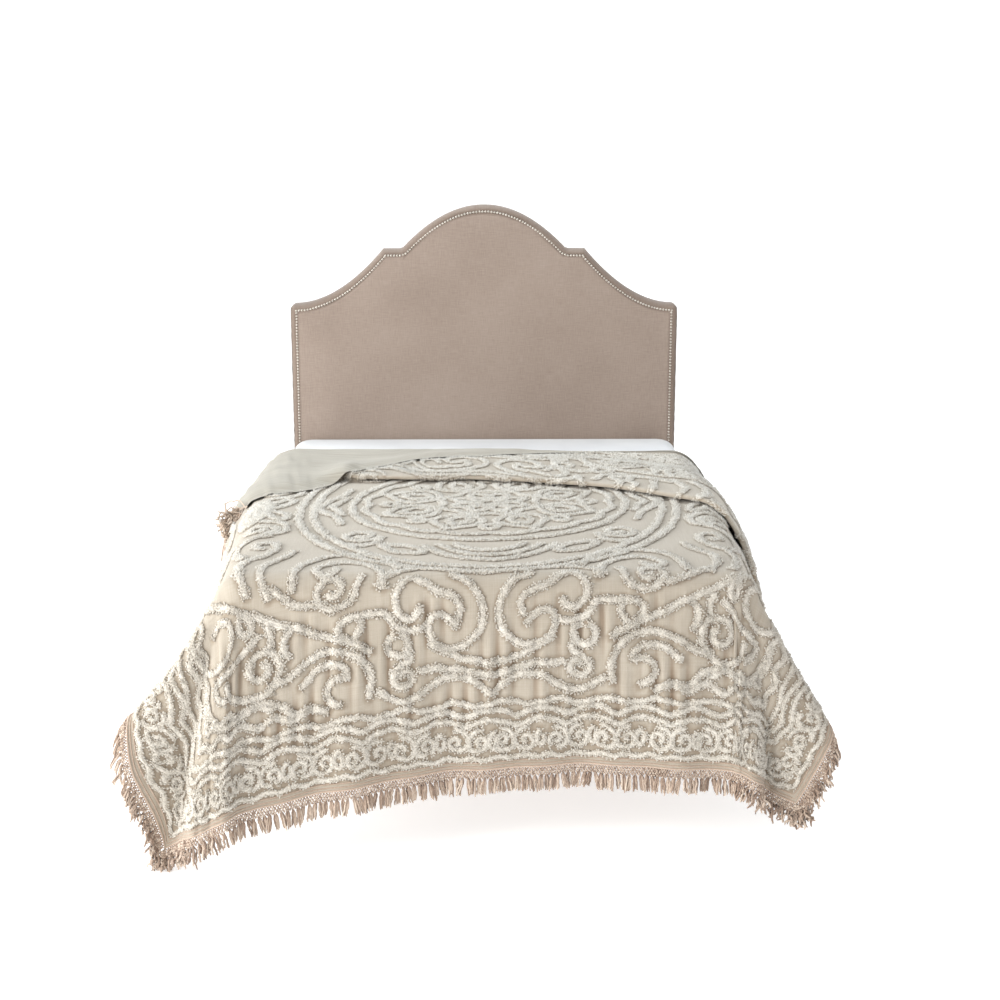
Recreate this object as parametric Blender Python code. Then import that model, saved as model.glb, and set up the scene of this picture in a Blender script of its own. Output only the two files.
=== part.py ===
"""A chenille bedspread with a knotted fringe, draped over a queen bed.

The bed is a legged base, a mattress and an upholstered headboard with an arched top.  The
bedspread is one sheet: it covers the mattress, hangs over both sides and the foot, flares out
at the two foot corners, lies in one slanting pleat near the head, and is turned back there so
that its plain reverse shows.  Metres, +Z up; the foot of the bed points to -Y.
"""

from math import pi

import bmesh
import bpy
import numpy as np

# ---------------------------------------------------------------- driving dimensions (metres)
BED_WIDTH = 1.524
BED_LENGTH = 2.03
MATTRESS_TOP = 0.82
MATTRESS_THICK = 0.33
MATTRESS_EDGE = 0.05        # rounding of the mattress's top and bottom edges
MATTRESS_CORNER = 0.08      # rounding of its four upright corners
BASE_THICK = 0.23
BASE_INSET = 0.012
LEG_SIDE = 0.06
WOOD_CORNER = 0.006         # worn-off edges of legs and posts
WOOD_EDGE = 0.003
LEG_INSET_X = 0.20
LEG_INSET_FOOT = 0.50
LEG_INSET_HEAD = 0.10

BOARD_THICK = 0.085
BOARD_HALF = 0.770
BOARD_BOTTOM = 0.36
SHOULDER_RISE = 0.535       # heights above the mattress top
NOTCH_RISE = 0.752
CREST_RISE = 0.924
NOTCH_X = 0.400             # outer end of the flat step
ARCH_X = 0.322              # where the arch meets the step
SCOOP_X = 0.750             # outer end of the hollow curve
NOTCH_DROP = 0.004          # from the end of the arch down to the step
NOTCH_RAMP = 0.012
SCOOP_POWER = 1.9           # how hollow the curve from the step to the shoulder is
SHOULDER_ROUND = 0.022
BOARD_RIM = 0.009           # rounding of the board's front and back edges
POST_WIDTH = 0.09
POST_THICK = 0.035
POST_INSET = 0.16

CLOTH_WIDTH = 2.36
CLOTH_THICK = 0.003
CLOTH_CLEAR = 0.004         # from the mattress's edges to the middle of the cloth
SEAT_RUN = 0.12             # distance in from an edge at which the cloth lies on the mattress
FOOT_HANG = 0.560           # cloth beyond the mattress's foot
CLOTH_AXIS = 0.012          # how far the cloth lies to the right of the bed
FOLD_RADIUS = 0.007         # half the spacing of the pleat's layers
HEAD_RADIUS = 0.011         # half the spacing of the turned part from what it lies on
HEAD_FOLD = 1.70            # where the cloth turns back, from the foot of the mattress
TURNED_SKEW = 0.17          # how far the turned part slides to the right, for each metre
SKEW_LEFT = -0.50           # it does so up to here, across the cloth, and fades out by here
SKEW_RIGHT = 0.40
PLEAT_FADE = 0.05           # pleat depth from which its folds lie flat
PLEAT_FLAT = 0.004          # shortest flat stretch inside the pleat
PLEAT_CLIMB = 0.07          # lengths over which cloth above climbs the pleat, and comes down
PLEAT_SETTLE = 0.30
OVER_PAST = 0.02            # finer rows of the turned part start this far behind the pleat
OVER_SHARE = 0.3            # and take at least this share of its length
FINE_LEFT = -0.64           # finer columns, across the bed, where the pleat runs out
FINE_RIGHT = -0.22

FRINGE_GAP = 0.0008
FRINGE_STRIP = 0.016        # the strip that the strands are knotted into
FRINGE_START = 0.001        # from a corner of the cloth to the strip's end
FRINGE_STRAND = 0.058
FRINGE_PITCH = 0.042
STRAND_WIDTH = 0.010
STRAND_THICK = 0.005
STRAND_TIP = 0.7            # share of its width that a strand keeps at its tip
STRAND_SAGS = (0.45,)       # how far each length of a strand turns down, 0 to 1
FLOOR_SAGS = (0.35, 0.60)   # the same for one that may reach the floor
FLOOR_REST = 0.004          # lowest a strand's middle comes, lying on the floor
PIECE_GAP = 0.0003

# Where the cloth leaves the flat of the mattress
EDGE_X = BED_WIDTH / 2 - MATTRESS_EDGE
EDGE_Y = MATTRESS_EDGE
HANG_LENGTHS = (0.09, 0.25, 0.60)   # cloth lengths at which the slopes below are given

# How the hanging cloth slopes: (place, heading, slope, slope, slope), in degrees.  Heading is
# the way the cloth points, 0 to its own side and 90 to the foot.  The slopes are below level.
LEFT_SIDE = (                # place: metres from the foot of the mattress
    (0.05, 0, 72, 72, 66),
    (0.50, 0, 54, 80, 84),
    (1.05, 0, 28, 80, 88),
    (1.64, 0, 40, 74, 84),
)
LEFT_CORNER = (              # place: degrees round the corner, from the side to the foot
    (0, 0, 72, 72, 66),
    (18, 10, 68, 62, 50),
    (34, 25, 64, 54, 40),
    (46, 36, 66, 60, 50),
    (56, 46, 70, 70, 70),
    (70, 66, 72, 68, 66),
    (90, 90, 74, 70, 68),
)
FOOT_SIDE = (                # place: metres across the bed
    (-0.712, 90, 74, 70, 68),
    (-0.35, 90, 76, 77, 78),
    (0.00, 90, 76, 84, 88),
    (0.35, 90, 76, 82, 87),
    (0.712, 90, 76, 76, 78),
)
RIGHT_CORNER = (
    (0, 0, 70, 72, 74),
    (18, 14, 66, 64, 62),
    (34, 30, 64, 58, 56),
    (46, 44, 68, 66, 70),
    (56, 54, 72, 76, 80),
    (70, 74, 74, 74, 74),
    (90, 90, 76, 76, 78),
)
RIGHT_SIDE = (
    (0.05, 0, 70, 72, 74),
    (0.50, 0, 58, 76, 84),
    (1.05, 0, 46, 78, 86),
    (1.64, 0, 48, 76, 84),
)

# How far the cloth's rows have slid toward the head: (across the cloth, slide)
ROW_SLIDE = (
    (-1.18, -0.100),
    (-0.95, -0.140),
    (-0.72, -0.105),
    (-0.45, -0.045),
    (0.00, 0.000),
    (0.50, 0.010),
    (0.75, 0.000),
    (1.00, 0.025),
    (1.18, 0.065),
)

# The slanting pleat: (across the bed, its front edge from the foot, its depth)
PLEAT = (
    (-1.25, 1.27, 0.00),
    (-0.63, 1.212, 0.00),
    (-0.50, 1.203, 0.03),
    (-0.38, 1.195, 0.09),
    (-0.25, 1.19, 0.21),
    (0.00, 1.18, 0.27),
    (0.24, 1.12, 0.32),
    (0.47, 1.03, 0.34),
    (0.64, 0.90, 0.35),
    (0.76, 0.80, 0.35),
    (0.86, 0.70, 0.35),
    (1.30, 0.45, 0.35),
)

# Where the turned part ends: (across the cloth, its edge from the foot of the mattress)
TURNED_EDGE = (
    (-1.20, 0.98),
    (-1.02, 0.98),
    (-0.83, 1.04),
    (-0.66, 1.20),
    (-0.41, 1.44),
    (-0.25, 1.49),
    (-0.11, 1.51),
    (0.02, 1.57),
    (0.13, 1.63),
    (0.25, 1.655),
    (1.20, 1.655),
)

# Soft waves of the hanging cloth at its hem: (wavelength, height, phase)
FOOT_WAVES = ((0.43, 0.010, 0.6), (0.19, 0.006, 2.0))
SIDE_WAVES = ((0.47, 0.006, 4.2), (0.21, 0.003, 1.7))
WAVE_FULL = 0.60            # cloth length at which the waves are full


# ---------------------------------------------------------------- the form of the cloth
def ease(x):
    """0 below 0, 1 above 1 and a smooth step between."""
    x = np.clip(x, 0.0, 1.0)
    return x * x * (3.0 - 2.0 * x)


def read_table(rows, place, column):
    """Smoothly read one column of a table at the given places."""
    xs = np.array([row[0] for row in rows], float)
    ys = np.array([row[column] for row in rows], float)
    slopes = np.gradient(ys, xs)
    place = np.clip(place, xs[0], xs[-1])
    i = np.clip(np.searchsorted(xs, place) - 1, 0, len(xs) - 2)
    step = xs[i + 1] - xs[i]
    t = (place - xs[i]) / step
    ends = (1 + 2 * t) * (1 - t) ** 2 * ys[i] + t * t * (3 - 2 * t) * ys[i + 1]
    bends = t * (1 - t) ** 2 * slopes[i] + t * t * (t - 1) * slopes[i + 1]
    return ends + step * bends


def slope_at(length, slopes):
    """Slope of the hanging cloth at a cloth length from the mattress's flat."""
    near, middle, far = HANG_LENGTHS
    first, second, third = slopes
    upper = first + (second - first) * (length - near) / (middle - near)
    lower = second + (third - second) * (length - middle) / (far - middle)
    return np.where(length < near, first * length / near, np.where(length < middle, upper, lower))


def drape(across, along):
    """Point of the draped surface for a place on the flat: metres across the bed and up it."""
    across, along = np.broadcast_arrays(np.asarray(across, float), np.asarray(along, float))
    past_side = np.maximum(np.abs(across) - EDGE_X, 0.0)
    past_foot = np.maximum(EDGE_Y - along, 0.0)
    length = np.hypot(past_side, past_foot)
    turn = np.degrees(np.arctan2(past_foot, past_side))
    right = across > 0
    on_side = past_foot <= 0
    on_corner = (past_foot > 0) & (past_side > 0)

    angles = []
    for column in (1, 2, 3, 4):
        side = np.where(right, read_table(RIGHT_SIDE, along, column),
                        read_table(LEFT_SIDE, along, column))
        corner = np.where(right, read_table(RIGHT_CORNER, turn, column),
                          read_table(LEFT_CORNER, turn, column))
        foot = read_table(FOOT_SIDE, across, column)
        angles.append(np.radians(np.where(on_corner, corner, np.where(on_side, side, foot))))
    heading, slopes = angles[0], angles[1:]

    steps = 20
    out = np.zeros_like(length)
    down = np.zeros_like(length)
    for i in range(steps):
        slope = slope_at(length * (i + 0.5) / steps, slopes)
        out += np.cos(slope) * length / steps
        down += np.sin(slope) * length / steps

    full = np.clip(length / WAVE_FULL, 0.0, 1.2) ** 1.6
    for place, waves, weight in ((across, FOOT_WAVES, np.sin(heading) ** 4),
                                 (along, SIDE_WAVES, np.cos(heading) ** 4)):
        for wavelength, height, phase in waves:
            out = out + full * weight * height * np.sin(2 * pi * place / wavelength + phase)

    inside = np.minimum(EDGE_X - np.abs(across), along - EDGE_Y)
    down = down + (CLOTH_CLEAR - CLOTH_THICK / 2 - PIECE_GAP) * ease(inside / SEAT_RUN)
    x = np.clip(across, -EDGE_X, EDGE_X) + np.where(right, out, -out) * np.cos(heading)
    y = np.maximum(along, EDGE_Y) - out * np.sin(heading)
    return np.stack([x, y, MATTRESS_TOP + CLOTH_CLEAR - down], -1)


def drape_normal(across, along):
    """Outward unit normal of the draped surface."""
    small = 0.002
    du = drape(across + small, along) - drape(across - small, along)
    dv = drape(across, along + small) - drape(across, along - small)
    normal = np.cross(du, dv)
    return normal / np.linalg.norm(normal, axis=-1, keepdims=True)


def pleat_form(across):
    """The pleat at places across the bed: its front edge, how far the cloth turns over in its
    two folds (0 flat, pi right over), their radius and the flat length between them."""
    depth = np.maximum(read_table(PLEAT, across, 2), 0.0)
    turn = np.maximum(pi * ease(depth / PLEAT_FADE), 1e-4)
    flat = PLEAT_FLAT + np.maximum(depth - PLEAT_FADE, 0.0)
    return read_table(PLEAT, across, 1), turn, pi * FOLD_RADIUS / turn, flat


def pleat_height(across, along):
    """Height off the bed of what lies over the pleat, which sinks down behind it."""
    front, turn, radius, flat = pleat_form(across)
    top = 2 * radius * (1 - np.cos(turn)) + flat * np.sin(turn)
    climb = ease((along - front) / PLEAT_CLIMB + 1)
    sink = ease((along - front - flat - 3 * FOLD_RADIUS) / PLEAT_SETTLE)
    return top * climb * (1 - sink)


class Column:
    """Where one lengthwise line of the cloth folds; u is the place across the cloth."""

    def __init__(self, u):
        self.slide = read_table(ROW_SLIDE, u, 1)
        across = u + CLOTH_AXIS
        self.front, self.turn, self.radius, self.flat = pleat_form(across)
        arc = pi * FOLD_RADIUS
        self.hem = self.slide - FOOT_HANG
        self.under = self.front + self.flat + FOLD_RADIUS
        self.back = self.under + arc
        self.forward = self.back + self.flat
        self.upper = self.forward + arc
        swing = self.radius * np.sin(self.turn)
        self.upper_place = self.under + 2 * swing + self.flat * np.cos(self.turn)
        self.head = self.upper + HEAD_FOLD - HEAD_RADIUS - self.upper_place
        self.turned = self.head + pi * HEAD_RADIUS
        edge = read_table(TURNED_EDGE, u, 1)
        self.end = self.turned + HEAD_FOLD - HEAD_RADIUS - edge
        self.over = self.end - np.maximum(self.front + OVER_PAST - edge,
                                          OVER_SHARE * (HEAD_FOLD - edge))
        self.skew = TURNED_SKEW * (1 - ease((u - SKEW_LEFT) / (SKEW_RIGHT - SKEW_LEFT)))


def fold(u, t):
    """Lay the cloth out with its folds: place across, place along, height off the surface.

    u is across the cloth, t the length along it, 0 at the mattress's foot.
    """
    u, t = np.broadcast_arrays(np.asarray(u, float), np.asarray(t, float))
    c = Column(u)
    along = np.minimum(t, c.under)
    height = np.zeros_like(along)

    bend = c.turn * np.clip((t - c.under) / (c.back - c.under), 0, 1)
    along = along + c.radius * np.sin(bend)
    height = height + c.radius * (1 - np.cos(bend))
    run = np.clip(t - c.back, 0, c.flat)
    along = along + run * np.cos(c.turn)
    height = height + run * np.sin(c.turn)
    bend = c.turn * (1 - np.clip((t - c.forward) / (c.upper - c.forward), 0, 1))
    along = along + c.radius * (np.sin(c.turn) - np.sin(bend))
    height = height + c.radius * (np.cos(bend) - np.cos(c.turn))
    along = along + np.clip(t - c.upper, 0, c.head - c.upper)

    bend = pi * np.clip((t - c.head) / (c.turned - c.head), 0, 1)
    along = along + HEAD_RADIUS * np.sin(bend) - np.maximum(t - c.turned, 0)
    across = u + CLOTH_AXIS + c.skew * np.maximum(t - c.upper, 0)
    height = np.where(t > c.upper, pleat_height(across, along), height)
    height = height + HEAD_RADIUS * (1 - np.cos(bend))
    return across, along, height


def cloth_point(u, t):
    """Point of the middle of the cloth, folds and layers included."""
    across, along, height = fold(u, t)
    return drape(across, along) + drape_normal(across, along) * height[..., None]


# ---------------------------------------------------------------- building
def clear_scene():
    for item in list(bpy.data.objects):
        bpy.data.objects.remove(item, do_unlink=True)


def material(name, colour, roughness):
    made = bpy.data.materials.new(name)
    made.use_nodes = True
    shader = made.node_tree.nodes["Principled BSDF"]
    shader.inputs["Base Color"].default_value = (*colour, 1.0)
    shader.inputs["Roughness"].default_value = roughness
    return made


def add_object(name, mesh, surface, smooth_angle=None):
    """Put a mesh in the scene as the named sub-part."""
    mesh.materials.append(surface)
    if smooth_angle is not None:
        mesh.shade_smooth()
        mesh.set_sharp_from_angle(angle=smooth_angle)
    item = bpy.data.objects.new(name, mesh)
    bpy.context.scene.collection.objects.link(item)
    return item


def rounded_box(name, size, corner, edge, steps, centre, surface):
    """A box with rounded upright corners and rounded top and bottom edges."""
    shape = bmesh.new()
    bmesh.ops.create_cube(shape, size=1.0)
    bmesh.ops.scale(shape, vec=size, verts=shape.verts)
    upright = [e for e in shape.edges if abs(e.verts[0].co.z - e.verts[1].co.z) > size[2] / 2]
    bmesh.ops.bevel(shape, geom=upright, offset=corner, segments=steps, profile=0.5, affect='EDGES')
    ends = [e for e in shape.edges
            if len(e.link_faces) == 2 and e.calc_face_angle() > 1.2]
    bmesh.ops.bevel(shape, geom=ends, offset=edge, segments=steps, profile=0.5, affect='EDGES')
    bmesh.ops.translate(shape, vec=centre, verts=shape.verts)
    mesh = bpy.data.meshes.new(name)
    shape.to_mesh(mesh)
    shape.free()
    return add_object(name, mesh, surface, smooth_angle=0.7)


def build_bed(cloth, wood, board_cloth):
    base_top = MATTRESS_TOP - MATTRESS_THICK - PIECE_GAP
    base_low = base_top - BASE_THICK
    middle = BED_LENGTH / 2
    rounded_box("mattress", (BED_WIDTH, BED_LENGTH, MATTRESS_THICK), MATTRESS_CORNER,
                MATTRESS_EDGE, 5, (0, middle, MATTRESS_TOP - MATTRESS_THICK / 2), cloth)
    rounded_box("box_base", (BED_WIDTH - 2 * BASE_INSET, BED_LENGTH - 2 * BASE_INSET, BASE_THICK),
                MATTRESS_CORNER, BASE_INSET, 4, (0, middle, base_top - BASE_THICK / 2), cloth)

    leg_height = base_low - PIECE_GAP
    side = BED_WIDTH / 2 - LEG_INSET_X
    for end, y in (("foot", LEG_INSET_FOOT), ("head", BED_LENGTH - LEG_INSET_HEAD)):
        for hand, x in (("left", -side), ("right", side)):
            rounded_box(f"leg_{end}_{hand}", (LEG_SIDE, LEG_SIDE, leg_height), WOOD_CORNER,
                        WOOD_EDGE, 1, (x, y, leg_height / 2), wood)

    build_headboard(board_cloth)
    post_height = BOARD_BOTTOM - PIECE_GAP
    back = BED_LENGTH + PIECE_GAP + BOARD_THICK / 2
    for hand, x in (("left", -1), ("right", 1)):
        rounded_box(f"headboard_post_{hand}", (POST_WIDTH, POST_THICK, post_height), WOOD_CORNER,
                    WOOD_EDGE, 1, (x * (BOARD_HALF - POST_INSET), back, post_height / 2), wood)


def board_rise(x):
    """Height of the headboard's top edge above the mattress, at x from its middle."""
    if x <= ARCH_X:
        fall = CREST_RISE - NOTCH_RISE - NOTCH_DROP
        return CREST_RISE - fall * (x / ARCH_X) ** 2
    if x <= NOTCH_X:
        return NOTCH_RISE
    if x <= SCOOP_X:
        left = 1 - (x - NOTCH_X) / (SCOOP_X - NOTCH_X)
        return SHOULDER_RISE + (NOTCH_RISE - SHOULDER_RISE) * left ** SCOOP_POWER
    return SHOULDER_RISE


def board_outline():
    """Right half of the headboard's outline, from the crest down to the bottom."""
    across = [ARCH_X * i / 12 for i in range(13)]
    across += [ARCH_X + NOTCH_RAMP, NOTCH_X]
    across += [NOTCH_X + (SCOOP_X - NOTCH_X) * (i / 12) for i in range(1, 13)]
    points = [(x, MATTRESS_TOP + board_rise(x)) for x in across]
    turn_x = BOARD_HALF - SHOULDER_ROUND
    turn_z = MATTRESS_TOP + SHOULDER_RISE - SHOULDER_ROUND
    for i in range(1, 5):
        angle = pi / 2 * (1 - i / 4)
        points.append((turn_x + SHOULDER_ROUND * np.cos(angle),
                       turn_z + SHOULDER_ROUND * np.sin(angle)))
    points.append((BOARD_HALF, BOARD_BOTTOM))
    return points


def build_headboard(surface):
    half = board_outline()
    outline = half + [(-x, z) for x, z in reversed(half[1:])]
    front = BED_LENGTH + PIECE_GAP
    shape = bmesh.new()
    ring = [shape.verts.new((x, front, z)) for x, z in outline]
    face = shape.faces.new(ring)
    made = bmesh.ops.extrude_face_region(shape, geom=[face])
    moved = [v for v in made["geom"] if isinstance(v, bmesh.types.BMVert)]
    bmesh.ops.translate(shape, vec=(0, BOARD_THICK, 0), verts=moved)
    bmesh.ops.recalc_face_normals(shape, faces=shape.faces)
    rims = [e for e in shape.edges if abs(e.verts[0].co.y - e.verts[1].co.y) < 1e-6]
    bmesh.ops.bevel(shape, geom=rims, offset=BOARD_RIM, segments=2, profile=0.5, affect='EDGES')
    mesh = bpy.data.meshes.new("headboard")
    shape.to_mesh(mesh)
    shape.free()
    add_object("headboard", mesh, surface, smooth_angle=0.7)


def sheet_lines():
    """The sheet's lengthwise lines, u, the length t of each row along them, and where the
    stretches between its folds begin, by row."""
    half, edge = CLOTH_WIDTH / 2, EDGE_X
    bend_end = edge + HANG_LENGTHS[0]
    places = (CLOTH_AXIS - half, -bend_end, -edge, FINE_LEFT, FINE_RIGHT, edge, bend_end,
              half + CLOTH_AXIS)
    runs = zip(places, places[1:], (5, 3, 1, 9, 10, 3, 5))
    across = [start + (stop - start) * i / cells for start, stop, cells in runs
              for i in range(cells)]
    u = np.array(across + [places[-1]]) - CLOTH_AXIS
    c = Column(u)
    level = 0 * u
    stretches = (("hem", c.hem, 8), ("bend", level + EDGE_Y - HANG_LENGTHS[0], 4),
                 ("top", level + EDGE_Y, 8), ("under", c.under, 4), ("back", c.back, 3),
                 ("forward", c.forward, 4), ("upper", c.upper, 10), ("head", c.head, 5),
                 ("turned", c.turned, 5), ("over", c.over, 5), ("end", c.end, 1))
    first_row, rows = {}, []
    for (name, start, cells), (_, stop, _) in zip(stretches, stretches[1:]):
        first_row[name] = len(rows)
        rows += [start + (stop - start) * i / cells for i in range(cells)]
    first_row["end"] = len(rows)
    rows.append(c.end)
    return u, np.array(rows), first_row


def grid_normals(points):
    """Unit normals of a grid of points, columns to the right and rows up the bed."""
    across = np.gradient(points, axis=1)
    along = np.gradient(points, axis=0)
    normals = np.cross(across, along)
    return normals / np.linalg.norm(normals, axis=-1, keepdims=True)


def sheet_grid():
    """Everything that the sheet and its fringes share."""
    u, t, first_row = sheet_lines()
    u = u[None, :] + 0 * t
    middle = cloth_point(u, t)
    return u, t, middle, grid_normals(middle), first_row


def build_bedspread(grid, surface):
    """The sheet: a front and a back surface joined round the hem.

    Both are split along the same short diagonals, so that they never cross.
    """
    _, t, middle, normals, _ = grid
    offset = normals * CLOTH_THICK / 2
    rows, columns = t.shape
    vertices = np.concatenate([(middle + offset).reshape(-1, 3), (middle - offset).reshape(-1, 3)])
    back = rows * columns
    flat = middle.reshape(-1, 3)
    faces = []
    for r in range(rows - 1):
        for c in range(columns - 1):
            a = r * columns + c
            ring = (a, a + 1, a + columns + 1, a + columns)
            spans = [np.linalg.norm(flat[ring[i]] - flat[ring[i + 2]]) for i in (0, 1)]
            if spans[0] > spans[1]:
                ring = ring[1:] + ring[:1]
            for corner in (ring[:3], (ring[2], ring[3], ring[0])):
                faces.append(corner)
                faces.append(tuple(back + i for i in reversed(corner)))
    hem = list(range(columns))
    hem += [r * columns + columns - 1 for r in range(1, rows)]
    hem += [(rows - 1) * columns + c for c in range(columns - 2, -1, -1)]
    hem += [r * columns for r in range(rows - 2, 0, -1)]
    for i, j in zip(hem, hem[1:] + hem[:1]):
        faces.append((j, i, back + i, back + j))
    mesh = bpy.data.meshes.new("bedspread")
    mesh.from_pydata(vertices.tolist(), [], faces)
    return add_object("bedspread", mesh, surface, smooth_angle=1.2)


def unit(vectors):
    return vectors / np.linalg.norm(vectors, axis=-1, keepdims=True)


def fringe_edges(grid):
    """Each fringed stretch of the hem: its name, hem points, way off the cloth and normals."""
    u, t, middle, normals, first_row = grid
    step = 0.004
    edges = []

    def add(name, rows, column, off_u, off_t):
        point, normal = middle[rows, column], normals[rows, column]
        beyond = cloth_point(u[rows, column] + off_u * step, t[rows, column] + off_t * step)
        hem = unit(np.gradient(point, axis=0))
        out = unit(beyond - point)
        out = unit(out - hem * (out * hem).sum(-1, keepdims=True))
        edges.append((name, point, out, normal))

    add("fringe_foot", 0, slice(None), 0, -1)
    for name, column, side, start, stop in (("fringe_left", 0, -1, "hem", "head"),
                                            ("fringe_turned", 0, -1, "turned", "end"),
                                            ("fringe_right", -1, 1, "hem", "under"),
                                            ("fringe_pleat", -1, 1, "upper", "head")):
        add(name, slice(first_row[start], first_row[stop] + 1), column, side, 0)
    return edges


def fringe_cells(points):
    """Cells of the strip: lengths where they start, and which of them carry a strand.

    Each straight piece of the hem is shared out evenly among its strands.
    """
    steps = np.linalg.norm(np.diff(points, axis=0), axis=1)
    length = np.concatenate([[0], np.cumsum(steps)])
    marks, strands = [], []
    for start, step in zip(length, steps):
        marks.append(start)
        strands.append(False)
        count = int(round(step / FRINGE_PITCH))
        for i in range(count):
            middle = start + (i + 0.5) * step / count
            marks += [middle - STRAND_WIDTH / 2, middle + STRAND_WIDTH / 2]
            strands += [True, False]
    marks[0] += FRINGE_START
    return length, np.array(marks + [length[-1] - FRINGE_START]), strands


def build_fringe(edge, surface):
    """A narrow strip along one edge, with strands standing out of it."""
    name, points, out, normal = edge
    length, marks, strands = fringe_cells(points)

    def along(values):
        return np.stack([np.interp(marks, length, values[:, i]) for i in range(3)], -1)

    hem, out, normal = along(points), unit(along(out)), unit(along(normal))
    root = hem + out * FRINGE_GAP
    rim = root + out * FRINGE_STRIP
    half = normal * CLOTH_THICK / 2
    rings = np.stack([root + half, root - half, rim - half, rim + half], 1)
    vertices = list(rings.reshape(-1, 3))
    faces = [(0, 1, 2, 3)]
    for i, strand in enumerate(strands):
        a, b = 4 * i, 4 * i + 4
        faces += [(a, b, b + 1, a + 1), (a + 1, b + 1, b + 2, a + 2), (a + 3, b + 3, b, a)]
        end = (a + 2, b + 2, b + 3, a + 3)
        if strand:
            add_strand(vertices, faces, end, unit(out[i] + out[i + 1]),
                       unit(normal[i] + normal[i + 1]))
        else:
            faces.append(end)
    last = 4 * len(strands)
    faces.append((last + 3, last + 2, last + 1, last))
    mesh = bpy.data.meshes.new(name)
    mesh.from_pydata([tuple(v) for v in vertices], [], faces)
    shape = bmesh.new()
    shape.from_mesh(mesh)
    bmesh.ops.recalc_face_normals(shape, faces=shape.faces)
    shape.to_mesh(mesh)
    shape.free()
    return add_object(name, mesh, surface)


def add_strand(vertices, faces, base, out, normal):
    """Draw one strand out of a strip's face: it starts along the cloth and sags."""
    corners = np.array([vertices[i] for i in base])
    centre = corners.mean(0)
    ahead = unit(corners[1] - corners[0])
    ring = base
    sags = FLOOR_SAGS if centre[2] < FRINGE_STRAND else STRAND_SAGS
    for i, sag in enumerate(sags):
        way = unit(out * (1 - sag) + np.array([0.0, 0.0, -sag]))
        centre = centre + way * FRINGE_STRAND / len(sags)
        centre[2] = max(centre[2], FLOOR_REST)
        side = ahead * STRAND_WIDTH / 2 * (1 - (1 - STRAND_TIP) * (i + 1) / len(sags))
        front = unit(normal - way * np.dot(normal, way)) * STRAND_THICK / 2
        start = len(vertices)
        vertices += [centre - side - front, centre + side - front,
                     centre + side + front, centre - side + front]
        new = tuple(range(start, start + 4))
        for i in range(4):
            j = (i + 1) % 4
            faces.append((ring[i], ring[j], new[j], new[i]))
        ring = new
    faces.append(ring)


def centre_on_origin():
    """Bring the middle of the whole thing's footprint over the origin."""
    corners = [item.matrix_world @ v.co for item in bpy.data.objects for v in item.data.vertices]
    points = np.array([tuple(c) for c in corners])
    middle = (points.min(0) + points.max(0)) / 2
    for item in bpy.data.objects:
        for vertex in item.data.vertices:
            vertex.co.x -= round(middle[0], 4)
            vertex.co.y -= round(middle[1], 4)


def main():
    clear_scene()
    linen = material("linen_ground", (0.60, 0.55, 0.47), 0.9)
    yarn = material("fringe_yarn", (0.58, 0.44, 0.34), 0.9)
    ticking = material("white_ticking", (0.80, 0.79, 0.77), 0.9)
    wood = material("dark_wood", (0.09, 0.06, 0.045), 0.5)
    taupe = material("taupe_upholstery", (0.36, 0.29, 0.24), 0.85)
    build_bed(ticking, wood, taupe)
    grid = sheet_grid()
    build_bedspread(grid, linen)
    for edge in fringe_edges(grid):
        build_fringe(edge, yarn)
    centre_on_origin()


main()
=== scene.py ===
# %% [markdown]
# # A tufted chenille bedspread on its bed
#
# The bed, its headboard and the way the cloth drapes are fixed by the frame.  What is still
# missing is everything that makes it a chenille bedspread: rows of soft cream pile standing on a
# plain greige ground, the little puckers that the sewing pulls into it, a knotted fringe round
# three sides, a fitted sheet on the mattress and a headboard trimmed with nail heads.
#
# A maker of such a spread works in this order, and so does this file: weave the ground, mark the
# pattern on it lying flat, tuft along the marks, knot the fringe into the hem, then lay it on
# the bed.  The trick here is that every mark keeps its place on the flat cloth, and one function
# carries any such place over to the draped one.

# %% Load the frame
from math import pi, radians

import bpy
from mathutils.kdtree import KDTree
import numpy as np
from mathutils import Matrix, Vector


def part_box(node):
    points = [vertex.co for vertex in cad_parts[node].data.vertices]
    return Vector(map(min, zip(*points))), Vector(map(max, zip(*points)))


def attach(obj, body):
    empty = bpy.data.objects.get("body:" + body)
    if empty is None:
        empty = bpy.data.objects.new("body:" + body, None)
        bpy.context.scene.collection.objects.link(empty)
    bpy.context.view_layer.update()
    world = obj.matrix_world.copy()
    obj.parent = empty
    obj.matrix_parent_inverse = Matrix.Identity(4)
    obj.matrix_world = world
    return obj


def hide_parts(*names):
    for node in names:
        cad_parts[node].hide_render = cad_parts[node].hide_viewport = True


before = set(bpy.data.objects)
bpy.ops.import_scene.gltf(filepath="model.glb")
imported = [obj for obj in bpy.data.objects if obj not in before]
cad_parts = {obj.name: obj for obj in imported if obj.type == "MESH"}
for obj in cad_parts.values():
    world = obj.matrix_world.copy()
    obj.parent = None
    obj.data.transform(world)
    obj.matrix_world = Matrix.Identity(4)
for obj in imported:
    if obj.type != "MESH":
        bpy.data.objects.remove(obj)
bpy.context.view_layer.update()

random = np.random.default_rng(11)     # one fixed seed, so every run is the same

# %% [markdown]
# ## Where the bed is
#
# All sizes are in metres.  The mattress gives the bed's own axes: x across it from its middle,
# y up it from its foot.  The cloth is worked out in those, and moved into the frame at the end.

# %% The bed's axes
mattress_low, mattress_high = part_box("mattress")
BED_WIDTH = mattress_high[0] - mattress_low[0]
BED_LENGTH = mattress_high[1] - mattress_low[1]
MATTRESS_TOP = mattress_high[2]
BED_PLACE = np.array([(mattress_low[0] + mattress_high[0]) / 2, mattress_low[1], 0.0])
print(f"bed {BED_WIDTH:.3f} x {BED_LENGTH:.3f} m, top at {MATTRESS_TOP:.3f} m")

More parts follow.
